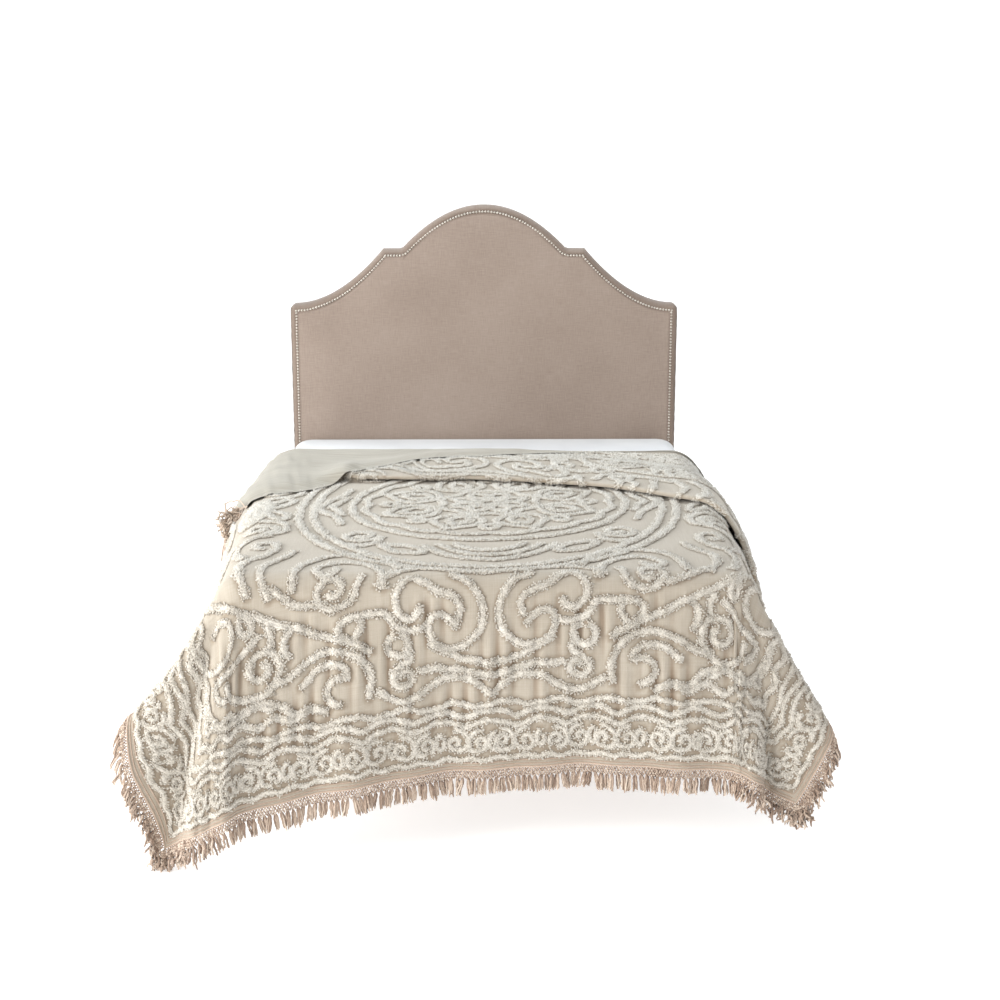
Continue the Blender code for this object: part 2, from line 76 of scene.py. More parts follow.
# %% [markdown]
# ## How the cloth lies
#
# These are the same sizes and tables that shape the sheet in the frame.  A cloth simulation could
# drape the spread too, but it would come out a little different on every machine, and could not
# be told to fold just where this one folds.  So the drape is worked out by functions from sizes
# that a maker can measure on the bed: how wide the cloth is, how far it hangs at the foot, and
# how tight it bends.

# %% The cloth's sizes
MATTRESS_EDGE = 0.05
CLOTH_WIDTH = 2.36
CLOTH_CLEAR = 0.004
CLOTH_SEAT = 0.0018         # middle of the cloth above the mattress, where it lies flat
SEAT_RUN = 0.12
FOOT_HANG = 0.560
CLOTH_AXIS = 0.012
FOLD_RADIUS = 0.007
HEAD_RADIUS = 0.011
HEAD_FOLD = 1.70
TURNED_SKEW = 0.17
SKEW_LEFT = -0.50
SKEW_RIGHT = 0.40
PLEAT_FADE = 0.05
PLEAT_FLAT = 0.004
PLEAT_CLIMB = 0.07
PLEAT_SETTLE = 0.30
EDGE_X = BED_WIDTH / 2 - MATTRESS_EDGE
EDGE_Y = MATTRESS_EDGE
print(f"cloth {CLOTH_WIDTH:.2f} m wide, hanging {FOOT_HANG:.2f} m at the foot")

# %% [markdown]
# Beside the flat top of the mattress the cloth bends over its edge and hangs.  How steeply it
# hangs is read from short tables, with the slope at three distances down the cloth, because a
# spread flares at the two foot corners and falls almost straight between them.  The heading is
# the way in which the cloth falls: 0 is straight off the side and 90 straight off the foot.

# %% How the cloth hangs
HANG_LENGTHS = (0.09, 0.25, 0.60)

# Hanging cloth: (place, heading, slope, slope, slope) in degrees; the corners' places are degrees
LEFT_SIDE = (
    (0.05, 0, 72, 72, 66),
    (0.50, 0, 54, 80, 84),
    (1.05, 0, 28, 80, 88),
    (1.64, 0, 40, 74, 84),
)
LEFT_CORNER = (
    (0, 0, 72, 72, 66),
    (18, 10, 68, 62, 50),
    (34, 25, 64, 54, 40),
    (46, 36, 66, 60, 50),
    (56, 46, 70, 70, 70),
    (70, 66, 72, 68, 66),
    (90, 90, 74, 70, 68),
)
FOOT_SIDE = (
    (-0.712, 90, 74, 70, 68),
    (-0.35, 90, 76, 77, 78),
    (0.00, 90, 76, 84, 88),
    (0.35, 90, 76, 82, 87),
    (0.712, 90, 76, 76, 78),
)
RIGHT_CORNER = (
    (0, 0, 70, 72, 74),
    (18, 14, 66, 64, 62),
    (34, 30, 64, 58, 56),
    (46, 44, 68, 66, 70),
    (56, 54, 72, 76, 80),
    (70, 74, 74, 74, 74),
    (90, 90, 76, 76, 78),
)
RIGHT_SIDE = (
    (0.05, 0, 70, 72, 74),
    (0.50, 0, 58, 76, 84),
    (1.05, 0, 46, 78, 86),
    (1.64, 0, 48, 76, 84),
)

corner_slopes = [row[4] for row in LEFT_CORNER]
print(f"the left corner's hem slopes {min(corner_slopes)} to {max(corner_slopes)} degrees")

# %% [markdown]
# Nobody lays a spread quite straight.  The rows of this one slid a little towards the head on
# the left, one pleat slants over the bed, and the turned part ends on a wandering line.  Each of
# these is a line through a few measured places.

# %% How the cloth was laid
# (across the cloth, how far its rows slid to the head)
ROW_SLIDE = (
    (-1.18, -0.100),
    (-0.95, -0.140),
    (-0.72, -0.105),
    (-0.45, -0.045),
    (0.00, 0.000),
    (0.50, 0.010),
    (0.75, 0.000),
    (1.00, 0.025),
    (1.18, 0.065),
)
# The slanting pleat: (across the bed, its front edge from the foot, its depth)
PLEAT = (
    (-1.25, 1.27, 0.00),
    (-0.63, 1.212, 0.00),
    (-0.50, 1.203, 0.03),
    (-0.38, 1.195, 0.09),
    (-0.25, 1.19, 0.21),
    (0.00, 1.18, 0.27),
    (0.24, 1.12, 0.32),
    (0.47, 1.03, 0.34),
    (0.64, 0.90, 0.35),
    (0.76, 0.80, 0.35),
    (0.86, 0.70, 0.35),
    (1.30, 0.45, 0.35),
)
# Where the turned part ends: (across the cloth, its edge from the foot of the mattress)
TURNED_EDGE = (
    (-1.20, 0.98),
    (-1.02, 0.98),
    (-0.83, 1.04),
    (-0.66, 1.20),
    (-0.41, 1.44),
    (-0.25, 1.49),
    (-0.11, 1.51),
    (0.02, 1.57),
    (0.13, 1.63),
    (0.25, 1.655),
    (1.20, 1.655),
)
# Soft waves of the hanging cloth: (wavelength, height, phase), full at a length from the edge
FOOT_WAVES = ((0.43, 0.010, 0.6), (0.19, 0.006, 2.0))
SIDE_WAVES = ((0.47, 0.006, 4.2), (0.21, 0.003, 1.7))
WAVE_FULL = 0.60
print(f"the pleat is up to {max(row[2] for row in PLEAT):.2f} m deep")

# %% [markdown]
# A table read with straight lines between its rows would leave creases in the cloth, so it is
# read with a smooth curve through them.

# %% Reading the tables
def ease(x):
    """0 below 0, 1 above 1 and a smooth step between."""
    x = np.clip(x, 0.0, 1.0)
    return x * x * (3.0 - 2.0 * x)


def unit(vectors):
    """The same directions, each one long."""
    return vectors / np.linalg.norm(vectors, axis=-1, keepdims=True)


def read_table(rows, place, column):
    """Smoothly read one column of a table at the given places."""
    xs = np.array([row[0] for row in rows], float)
    ys = np.array([row[column] for row in rows], float)
    slopes = np.gradient(ys, xs)
    place = np.clip(place, xs[0], xs[-1])
    i = np.clip(np.searchsorted(xs, place) - 1, 0, len(xs) - 2)
    step = xs[i + 1] - xs[i]
    t = (place - xs[i]) / step
    ends = (1 + 2 * t) * (1 - t) ** 2 * ys[i] + t * t * (3 - 2 * t) * ys[i + 1]
    bends = t * (1 - t) ** 2 * slopes[i] + t * t * (t - 1) * slopes[i + 1]
    return ends + step * bends


def slope_at(length, slopes):
    """Slope of the hanging cloth at a cloth length from the mattress's flat."""
    near, middle, far = HANG_LENGTHS
    first, second, third = slopes
    upper = first + (second - first) * (length - near) / (middle - near)
    lower = second + (third - second) * (length - middle) / (far - middle)
    return np.where(length < near, first * length / near, np.where(length < middle, upper, lower))


# %% [markdown]
# The draped surface: a place on the flat, in metres across the bed and up it, goes in and a
# point in space comes out.  Past an edge, the rest of the cloth's length is walked down the
# slopes in small steps, so that no cloth is gained or lost.

# %% The draped surface
def drape(across, along):
    """Points of the smooth cloth over the bed, in the bed's axes, for places on the flat."""
    across, along = np.broadcast_arrays(np.asarray(across, float), np.asarray(along, float))
    past_side = np.maximum(np.abs(across) - EDGE_X, 0.0)
    past_foot = np.maximum(EDGE_Y - along, 0.0)
    length = np.hypot(past_side, past_foot)
    turn = np.degrees(np.arctan2(past_foot, past_side))
    right = across > 0
    on_side = past_foot <= 0
    on_corner = (past_foot > 0) & (past_side > 0)

    angles = []
    for column in (1, 2, 3, 4):
        side = np.where(right, read_table(RIGHT_SIDE, along, column),
                        read_table(LEFT_SIDE, along, column))
        corner = np.where(right, read_table(RIGHT_CORNER, turn, column),
                          read_table(LEFT_CORNER, turn, column))
        foot = read_table(FOOT_SIDE, across, column)
        angles.append(np.radians(np.where(on_corner, corner, np.where(on_side, side, foot))))
    heading, slopes = angles[0], angles[1:]

    steps = 20
    out = np.zeros_like(length)
    down = np.zeros_like(length)
    for i in range(steps):
        slope = slope_at(length * (i + 0.5) / steps, slopes)
        out += np.cos(slope) * length / steps
        down += np.sin(slope) * length / steps

    full = np.clip(length / WAVE_FULL, 0.0, 1.2) ** 1.6
    for place, waves, weight in ((across, FOOT_WAVES, np.sin(heading) ** 4),
                                 (along, SIDE_WAVES, np.cos(heading) ** 4)):
        for wavelength, height, phase in waves:
            out = out + full * weight * height * np.sin(2 * pi * place / wavelength + phase)

    inside = np.minimum(EDGE_X - np.abs(across), along - EDGE_Y)
    down = down + (CLOTH_CLEAR - CLOTH_SEAT) * ease(inside / SEAT_RUN)
    x = np.clip(across, -EDGE_X, EDGE_X) + np.where(right, out, -out) * np.cos(heading)
    y = np.maximum(along, EDGE_Y) - out * np.sin(heading)
    return np.stack([x, y, MATTRESS_TOP + CLOTH_CLEAR - down], -1)


def drape_normal(across, along):
    """The way straight off the draped cloth."""
    small = 0.002
    du = drape(across + small, along) - drape(across - small, along)
    dv = drape(across, along + small) - drape(across, along - small)
    return unit(np.cross(du, dv))


foot_drop = MATTRESS_TOP - drape(0.0, -FOOT_HANG)[2]
print(f"the middle of the foot hem is {foot_drop:.3f} m below the mattress's top")

# %% [markdown]
# The head end is turned back, which shows the plain reverse, and in front of it a slanting pleat
# runs across the bed and dies out on the left.  Each lengthwise line of the cloth folds at its
# own places, which the class `Column` keeps.  `hem`, `under`, `back` and so on are cloth lengths
# at which the next stretch begins.

# %% The pleat's form
def pleat_form(across):
    """The pleat's front edge, how far its bends turn, their radius and the run between them."""
    depth = np.maximum(read_table(PLEAT, across, 2), 0.0)
    turn = np.maximum(pi * ease(depth / PLEAT_FADE), 1e-4)
    flat = PLEAT_FLAT + np.maximum(depth - PLEAT_FADE, 0.0)
    return read_table(PLEAT, across, 1), turn, pi * FOLD_RADIUS / turn, flat


def pleat_height(across, along):
    """How far the upper layer lies over the mattress: it climbs on to the pleat and sinks again."""
    front, turn, radius, flat = pleat_form(across)
    top = 2 * radius * (1 - np.cos(turn)) + flat * np.sin(turn)
    climb = ease((along - front) / PLEAT_CLIMB + 1)
    sink = ease((along - front - flat - 3 * FOLD_RADIUS) / PLEAT_SETTLE)
    return top * climb * (1 - sink)


# %% One lengthwise line
class Column:
    """Where one lengthwise line of the cloth folds; u is the place across the cloth."""

    def __init__(self, u):
        across = u + CLOTH_AXIS
        self.front, self.turn, self.radius, self.flat = pleat_form(across)
        arc = pi * FOLD_RADIUS
        self.hem = read_table(ROW_SLIDE, u, 1) - FOOT_HANG
        self.under = self.front + self.flat + FOLD_RADIUS
        self.back = self.under + arc
        self.forward = self.back + self.flat
        self.upper = self.forward + arc
        swing = self.radius * np.sin(self.turn)
        upper_place = self.under + 2 * swing + self.flat * np.cos(self.turn)
        self.head = self.upper + HEAD_FOLD - HEAD_RADIUS - upper_place
        self.turned = self.head + pi * HEAD_RADIUS
        self.edge = read_table(TURNED_EDGE, u, 1)
        self.end = self.turned + HEAD_FOLD - HEAD_RADIUS - self.edge
        self.skew = TURNED_SKEW * (1 - ease((u - SKEW_LEFT) / (SKEW_RIGHT - SKEW_LEFT)))


middle_line = Column(np.zeros(1))
print(f"the middle line is {(middle_line.end - middle_line.hem)[0]:.3f} m long")


# %% Folding the cloth
def fold(u, t):
    """Place across, place along and height off the bed, for a line u and a length t along it."""
    u, t = np.broadcast_arrays(np.asarray(u, float), np.asarray(t, float))
    c = Column(u)
    along = np.minimum(t, c.under)
    height = np.zeros_like(along)

    # Up round the pleat's first bend, back towards the foot, and round its second bend
    bend = c.turn * np.clip((t - c.under) / (c.back - c.under), 0, 1)
    along = along + c.radius * np.sin(bend)
    height = height + c.radius * (1 - np.cos(bend))
    run = np.clip(t - c.back, 0, c.flat)
    along = along + run * np.cos(c.turn)
    height = height + run * np.sin(c.turn)
    bend = c.turn * (1 - np.clip((t - c.forward) / (c.upper - c.forward), 0, 1))
    along = along + c.radius * (np.sin(c.turn) - np.sin(bend))
    height = height + c.radius * (np.cos(bend) - np.cos(c.turn))
    along = along + np.clip(t - c.upper, 0, c.head - c.upper)

    # Over at the head, and down the bed again with its reverse up
    bend = pi * np.clip((t - c.head) / (c.turned - c.head), 0, 1)
    along = along + HEAD_RADIUS * np.sin(bend) - np.maximum(t - c.turned, 0)
    across = u + CLOTH_AXIS + c.skew * np.maximum(t - c.upper, 0)
    height = np.where(t > c.upper, pleat_height(across, along), height)
    height = height + HEAD_RADIUS * (1 - np.cos(bend))
    return across, along, height


def cloth_point(u, t):
    """A point of the folded and draped cloth, in the frame's axes."""
    across, along, height = fold(u, t)
    return drape(across, along) + drape_normal(across, along) * height[..., None] + BED_PLACE


# %% [markdown]
# ## Puckers
#
# Tufting pulls the ground in along every row of pile, so the bare cloth between the rows stands
# up in soft ribs.  They run with the warp and are deepest where the cloth hangs free at the
# foot; on the mattress they are pressed almost flat.  Two rib widths with wandering phases keep
# them from looking combed.  `s` is the distance up the cloth from its foot hem.

# %% Puckers
PUCKER_HEIGHT = 0.0074
REST_SWELL = 0.0016         # swell of the cloth where it lies on the mattress
RIB_WIDTHS = (0.055, 0.037)
PATCH_SIZE = (0.43, 0.31)   # patches in which the ribs are deeper, across and along the cloth
SWELL_SIZE = (0.23, 0.27)
SIDE_SHARE = 0.45           # how deep the puckers are at the sides, against the foot
CORNER_CALM = 0.65          # how much the foot's ribs die out towards its corners
RIB_GROWTH = 0.10           # below the mattress's edge the ribs grow over this
HEM_CALM = (0.06, 0.14)     # smooth up to this far from the foot hem, and full after this much more
SIDE_CALM = (0.03, 0.10)    # the same past the mattress's side


def relief(u, s):
    """Height of the ground above its smooth drape."""
    hang = ease((FOOT_HANG - s) / RIB_GROWTH) * ease((s - HEM_CALM[0]) / HEM_CALM[1])
    side = ease((np.abs(u) - EDGE_X - SIDE_CALM[0]) / SIDE_CALM[1])
    hang = hang * (1 - CORNER_CALM * side)
    wander = 1.9 * np.sin(4.3 * s + 2.1 * u) + 1.3 * np.sin(11.0 * u + 2.0 * s)
    wide_rib, narrow_rib = (2 * pi * u / width for width in RIB_WIDTHS)
    ribs = 0.60 * np.sin(wide_rib + wander) + 0.40 * np.sin(narrow_rib - 1.7 * wander)
    patch_u, patch_s = 2 * pi * u / PATCH_SIZE[0], 2 * pi * s / PATCH_SIZE[1]
    patches = 0.62 + 0.38 * np.sin(patch_u + 0.7) * np.cos(patch_s + 3.0 * u)
    swell_u, swell_s = 2 * pi * u / SWELL_SIZE[0], 2 * pi * s / SWELL_SIZE[1]
    swell = np.sin(swell_u + 1.1 * np.sin(7 * s)) * np.sin(swell_s + 2.0 * u)
    loose = np.maximum(hang, SIDE_SHARE * side)
    return PUCKER_HEIGHT * loose * patches * ribs + REST_SWELL * (1 - loose) * (0.5 + 0.5 * swell)


foot_ribs = relief(np.linspace(-0.5, 0.5, 200), np.full(200, 0.3))
print(f"the foot's ribs stand {1000 * foot_ribs.max():.1f} mm high")

# %% [markdown]
# ## The cloth as a sheet
#
# The ground is one grid of quads.  Its rows are shared out between the folds, with close rows
# round each bend, so that a fold is as smooth as a flat stretch.

# %% The sheet's grid
COLUMN_STEP = 0.009
END_SETTLE = 0.012          # the turned part's free end sinks this far on to the cloth below
SETTLE_RUN = 0.10
ROW_CELLS = (("hem", 42), ("bend", 9), ("top", 86), ("under", 6), ("back", 8), ("forward", 6),
             ("upper", 52), ("head", 8), ("turned", 46), ("end", 0))


def sheet_lengths(u):
    """Length t of each row along each line, and the row at which every stretch begins."""
    c = Column(u)
    starts = {"hem": c.hem, "bend": 0 * u + EDGE_Y - HANG_LENGTHS[0], "top": 0 * u + EDGE_Y,
              "under": c.under, "back": c.back, "forward": c.forward, "upper": c.upper,
              "head": c.head, "turned": c.turned, "end": c.end}
    rows, first = [], {}
    for (name, cells), (following, _) in zip(ROW_CELLS, ROW_CELLS[1:]):
        first[name] = len(rows)
        start, stop = starts[name], starts[following]
        rows += [start + (stop - start) * i / cells for i in range(cells)]
    first["end"] = len(rows)
    rows.append(c.end)
    return np.array(rows), first


def grid_normals(points):
    """Unit normals of a grid whose rows run up the cloth and whose columns run across it."""
    return unit(np.cross(np.gradient(points, axis=1), np.gradient(points, axis=0)))


def draped_grid(u, t):
    """The sheet's points for a grid of flat places, puckers included."""
    smooth = cloth_point(u, t)
    c = Column(u)
    raised = relief(u, t - c.hem)
    settled = END_SETTLE * ease((t - c.end + SETTLE_RUN) / SETTLE_RUN)
    return smooth + grid_normals(smooth) * (raised + settled)[..., None]


def quads(rows, columns):
    """Faces of a grid of points that is stored row by row."""
    corner = (np.arange(rows - 1)[:, None] * columns + np.arange(columns - 1)[None, :]).ravel()
    return np.stack([corner, corner + 1, corner + columns + 1, corner + columns], -1)


# %% The sheet's points
columns = int(round(CLOTH_WIDTH / COLUMN_STEP)) + 1
line_u = np.linspace(-CLOTH_WIDTH / 2, CLOTH_WIDTH / 2, columns)
sheet_t, first_row = sheet_lengths(line_u)
sheet_u = line_u[None, :] + 0 * sheet_t
sheet_points = draped_grid(sheet_u, sheet_t)
sheet_s = sheet_t - Column(line_u).hem
print(f"sheet of {sheet_t.shape[0]} rows and {columns} columns")

# %% [markdown]
# Pile and fringe need a point of the draped cloth for any flat place.  Working the drape out
# afresh for each of half a million points would be slow, so the cloth is sampled once on an even
# grid, and any place is read from the four samples round it.

# %% From a flat place to the draped cloth
SAMPLE_STEP = 0.005
SAMPLE_LENGTH = 3.30
sample_s = np.arange(0.0, SAMPLE_LENGTH, SAMPLE_STEP)
sample_t = sample_s[:, None] + Column(line_u).hem[None, :]
sample_points = draped_grid(line_u[None, :] + 0 * sample_t, sample_t)
sample_normals = grid_normals(sample_points)
print(f"{sample_points[..., 0].size} samples of the draped cloth")


def read_samples(samples, u, s):
    """Values between the four samples round each flat place."""
    x = np.clip((u + CLOTH_WIDTH / 2) / (CLOTH_WIDTH / (columns - 1)), 0, columns - 1.001)
    y = np.clip(s / SAMPLE_STEP, 0, len(sample_s) - 1.001)
    i, j = x.astype(int), y.astype(int)
    fx, fy = (x - i)[..., None], (y - j)[..., None]
    near = samples[j, i] * (1 - fx) + samples[j, i + 1] * fx
    far = samples[j + 1, i] * (1 - fx) + samples[j + 1, i + 1] * fx
    return near * (1 - fy) + far * fy


def on_cloth(u, s, lift):
    """Point at a height over the draped face of the cloth."""
    return read_samples(sample_points, u, s) + read_samples(sample_normals, u, s) * lift[..., None]


# %% [markdown]
# ## Materials
#
# Every surface here is yarn of some kind, or wood or metal.  Pictures of fabric could be
# wrapped round the pieces, but they would blur up close and repeat from afar; textures that are
# worked out by nodes do neither.  One helper makes the shader, and each material adds its own
# variation: broad changes of tone, the thread structure as bump, and streaks along the yarn.
# Texture sizes are per metre, because one unit is a metre.

# %% A material's shader
class Surface:
    """A Principled material, with short calls for what reaches its shader."""

    def __init__(self, name, roughness, **fixed):
        self.material = bpy.data.materials.new(name)
        self.material.use_nodes = True
        self.tree = self.material.node_tree
        self.shader = self.tree.nodes["Principled BSDF"]
        self.shader.inputs["Roughness"].default_value = roughness
        for socket, value in fixed.items():
            self.shader.inputs[socket.replace("_", " ")].default_value = value
        self.place = self.node("ShaderNodeTexCoord").outputs["Object"]

    def node(self, kind, **settings):
        made = self.tree.nodes.new(kind)
        for key, value in settings.items():
            setattr(made, key, value)
        return made

    def join(self, source, target):
        self.tree.links.new(source, target)

    def use_cloth_places(self):
        """Take textures from the flat cloth's own metres in place of space."""
        self.place = self.node("ShaderNodeUVMap", uv_map="cloth").outputs["UV"]

    def colour(self, source):
        self.join(source, self.shader.inputs["Base Color"])

    def bump(self, source, distance, strength):
        made = self.node("ShaderNodeBump")
        self.join(source, made.inputs["Height"])
        made.inputs["Distance"].default_value = distance
        made.inputs["Strength"].default_value = strength
        self.join(made.outputs["Normal"], self.shader.inputs["Normal"])


# %% [markdown]
# Four kinds of node make all the variation: noise that may be stretched into streaks, even bands
# for woven threads, attributes that the pieces carry with them, and ramps that turn any of these
# into colours.  `shaded` and `sum` put them together.

# %% Textures of a material
WAVE_PER_METRE = 0.3142     # wave texture scale for one band in each metre


class Look(Surface):
    """A surface with the textures that vary it."""

    def noise(self, scale, detail=2.0, roughness=0.5):
        mapping = self.node("ShaderNodeMapping")
        self.join(self.place, mapping.inputs["Vector"])
        mapping.inputs["Scale"].default_value = scale
        made = self.node("ShaderNodeTexNoise")
        self.join(mapping.outputs["Vector"], made.inputs["Vector"])
        made.inputs["Scale"].default_value = 1.0
        made.inputs["Detail"].default_value = detail
        made.inputs["Roughness"].default_value = roughness
        return made.outputs["Fac"]

    def bands(self, count, direction):
        """Even threads, `count` of them in each metre."""
        made = self.node("ShaderNodeTexWave", bands_direction=direction)
        self.join(self.place, made.inputs["Vector"])
        made.inputs["Scale"].default_value = count * WAVE_PER_METRE
        made.inputs["Distortion"].default_value = 0.6
        return made.outputs["Fac"]

    def carried(self, name):
        """Values that the piece keeps at its points."""
        return self.node("ShaderNodeAttribute", attribute_name=name).outputs["Fac"]

    def ramp(self, source, *stops):
        made = self.node("ShaderNodeValToRGB")
        self.join(source, made.inputs["Fac"])
        line = made.color_ramp
        while len(line.elements) < len(stops):
            line.elements.new(0.5)
        for element, (place, colour) in zip(line.elements, stops):
            element.position = place
            element.color = (*colour, 1.0)
        return made.outputs["Color"]

    def shaded(self, colour, shade):
        """One colour darkened by another."""
        made = self.node("ShaderNodeMix", data_type="RGBA", blend_type="MULTIPLY")
        made.inputs[0].default_value = 1.0
        self.join(colour, made.inputs[6])
        self.join(shade, made.inputs[7])
        return made.outputs[2]

    def sum(self, *weighted):
        """Weighted sum of grey textures."""
        total = None
        for source, weight in weighted:
            scaled = self.node("ShaderNodeMath", operation="MULTIPLY")
            self.join(source, scaled.inputs[0])
            scaled.inputs[1].default_value = weight
            if total is None:
                total = scaled.outputs[0]
            else:
                added = self.node("ShaderNodeMath", operation="ADD")
                self.join(total, added.inputs[0])
                self.join(scaled.outputs[0], added.inputs[1])
                total = added.outputs[0]
        return total


# %% [markdown]
# The ground is a plain weave of slightly uneven cotton: two sets of threads as bump, and thin
# streaks where a thicker thread runs.  The reverse is the same weave seen from behind, where the
# tufting stitches pull it into faint stripes across the cloth.

# %% Ground and reverse
def make_ground():
    look = Look("greige_ground", 0.92, Sheen_Weight=0.25, Sheen_Roughness=0.5)
    look.use_cloth_places()
    warp = look.noise((420.0, 9.0, 1.0), 2.0)
    weft = look.noise((9.0, 420.0, 1.0), 2.0)
    cloudy = look.noise((5.0, 5.0, 1.0), 3.0)
    tone = look.sum((warp, 0.4), (weft, 0.3), (cloudy, 0.3))
    thread_tone = (look.ramp(tone, (0.30, (0.359, 0.307, 0.244)), (0.52, (0.425, 0.373, 0.304)),
                             (0.72, (0.487, 0.439, 0.370))))
    # Painted shade: a warm darkening deep between the ribs and in the hem strip, and a darkening right
    # beside each row of pile
    painted_rib_and_hem_shade = look.carried("painted_rib_and_hem_shade")
    rib_and_hem_shade = look.ramp(painted_rib_and_hem_shade, (0.05, (1.0, 1.0, 1.0)), (0.8, (0.66, 0.56, 0.48)))
    # Painted shade right beside each row of pile, in place of the dip there
    beside = look.carried("beside")
    painted_dip_shade = look.ramp(beside, (0.1, (1.0, 1.0, 1.0)), (0.9, (0.76, 0.71, 0.66)))
    look.colour(look.shaded(look.shaded(thread_tone, rib_and_hem_shade), painted_dip_shade))
    weave = look.sum((look.bands(620.0, "X"), 0.5), (look.bands(620.0, "Y"), 0.5), (warp, 0.6))
    look.bump(weave, 0.0007, 0.6)
    return look.material


def make_reverse():
    look = Look("plain_reverse", 0.94, Sheen_Weight=0.2, Sheen_Roughness=0.5)
    look.use_cloth_places()
    stripes = look.noise((2.5, 150.0, 1.0), 3.0, 0.6)
    fine = look.noise((14.0, 480.0, 1.0), 2.0)
    cloudy = look.noise((6.0, 8.0, 1.0), 2.0)
    tone = look.sum((stripes, 0.55), (fine, 0.25), (cloudy, 0.2))
    look.colour(look.ramp(tone, (0.36, (0.238, 0.215, 0.174)), (0.50, (0.325, 0.296, 0.243)),
                          (0.64, (0.400, 0.370, 0.311))))
    look.bump(look.sum((stripes, 0.7), (fine, 0.3)), 0.0018, 0.6)
    return look.material


ground_look = make_ground()
reverse_look = make_reverse()
print("made", ground_look.name, "and", reverse_look.name)

# %% [markdown]
# Chenille pile is a brush of short cotton ends.  The clumps themselves are modelled further
# down; the material adds the ends within a clump and shades the roots, which lie in each
# other's shadow, darker than the tips.  The `pile` attribute is 0 at the roots and 1 on top.

# %% Chenille and fringe yarn
def make_chenille():
    look = Look("cream_chenille", 0.95, Sheen_Weight=0.3, Sheen_Roughness=0.45)
    pile = look.carried("pile")
    ends = look.noise((420.0, 420.0, 420.0), 2.0, 0.6)
    tufts = look.noise((230.0, 230.0, 230.0), 1.0, 0.5)
    broad = look.noise((9.0, 9.0, 9.0), 2.0)
    tips = look.ramp(look.sum((tufts, 0.7), (broad, 0.3)), (0.34, (0.567, 0.539, 0.487)),
                     (0.50, (0.737, 0.709, 0.657)), (0.64, (0.850, 0.832, 0.789)))
    shade = look.ramp(pile, (0.0, (0.46, 0.40, 0.33)), (0.40, (0.84, 0.81, 0.77)),
                      (0.9, (1.0, 1.0, 1.0)))
    look.colour(look.shaded(tips, shade))
    look.bump(ends, 0.002, 0.7)
    return look.material


def make_fringe_yarn():
    look = Look("rose_tan_yarn", 0.9, Sheen_Weight=0.3, Sheen_Roughness=0.5)
    strand = look.carried("strand")
    fibres = look.noise((600.0, 600.0, 150.0), 2.0)
    look.colour(look.ramp(look.sum((strand, 0.75), (fibres, 0.5)), (0.20, (0.115, 0.069, 0.047)),
                          (0.48, (0.282, 0.194, 0.143)), (0.74, (0.465, 0.355, 0.276)),
                          (1.0, (0.68, 0.57, 0.47))))
    look.bump(fibres, 0.0015, 0.8)
    return look.material


chenille_look = make_chenille()
yarn_look = make_fringe_yarn()
print("made", chenille_look.name, "and", yarn_look.name)

# %% [markdown]
# The bed's own materials are quieter: a white cotton sheet, a taupe linen on the headboard, dark
# stained wood for legs and posts, and dull nickel nails.  Linen needs threads both ways; wood
# needs one noise that is stretched along the grain.  The linen carries painted shade along the
# nails, where it is pressed in, on the rolled rim outside them and on the board's back.

# %% The bed's materials
def make_white_cotton():
    look = Look("white_cotton", 0.85, Sheen_Weight=0.15)
    soft = look.noise((4.0, 4.0, 4.0), 3.0)
    look.colour(look.ramp(soft, (0.3, (0.60, 0.60, 0.61)), (0.7, (0.70, 0.70, 0.70))))
    threads = look.sum((look.noise((900.0, 30.0, 30.0)), 0.5), (look.noise((30.0, 900.0, 900.0)), 0.5))
    look.bump(threads, 0.0006, 0.4)
    return look.material


def make_taupe_linen():
    look = Look("taupe_linen", 0.9, Sheen_Weight=0.3, Sheen_Roughness=0.4)
    across = look.noise((26.0, 26.0, 520.0), 3.0, 0.6)
    upright = look.noise((520.0, 26.0, 26.0), 3.0, 0.6)
    broad = look.noise((3.0, 3.0, 3.0), 2.0)
    tone = look.sum((across, 0.35), (upright, 0.35), (broad, 0.3))
    threads = look.ramp(tone, (0.34, (0.216, 0.165, 0.135)), (0.50, (0.276, 0.217, 0.179)),
                        (0.66, (0.327, 0.265, 0.225)))
    # Painted shade along the nails, on the roll outside them and on the back
    painted_board_shade = look.carried("painted_board_shade")
    shadow = look.ramp(painted_board_shade, (0.0, (1.0, 1.0, 1.0)), (0.45, (0.76, 0.74, 0.72)),
                       (1.0, (0.40, 0.36, 0.33)))
    look.colour(look.shaded(threads, shadow))
    look.bump(look.sum((across, 0.5), (upright, 0.5)), 0.0012, 0.6)
    return look.material


def make_wood():
    look = Look("dark_stained_wood", 0.42, Coat_Weight=0.2)
    grain = look.noise((60.0, 60.0, 3.5), 5.0, 0.65)
    look.colour(look.ramp(grain, (0.3, (0.045, 0.026, 0.017)), (0.5, (0.085, 0.052, 0.034)),
                          (0.72, (0.15, 0.095, 0.062))))
    look.bump(grain, 0.0008, 0.4)
    return look.material


def make_nickel():
    look = Look("dull_nickel", 0.34, Metallic=1.0)
    worn = look.noise((300.0, 300.0, 300.0), 2.0)
    look.colour(look.ramp(worn, (0.3, (0.30, 0.26, 0.22)), (0.65, (0.66, 0.62, 0.56))))
    return look.material


cotton_look = make_white_cotton()
linen_look = make_taupe_linen()
wood_look = make_wood()
nickel_look = make_nickel()
print("made", ", ".join(look.name for look in (cotton_look, linen_look, wood_look, nickel_look)))

# %% [markdown]
# ## Making a piece
#
# Everything soft is built as arrays of points and faces, and this turns them into an object that
# rides on the bed.  `uv` keeps each point's place on the flat cloth, in metres.

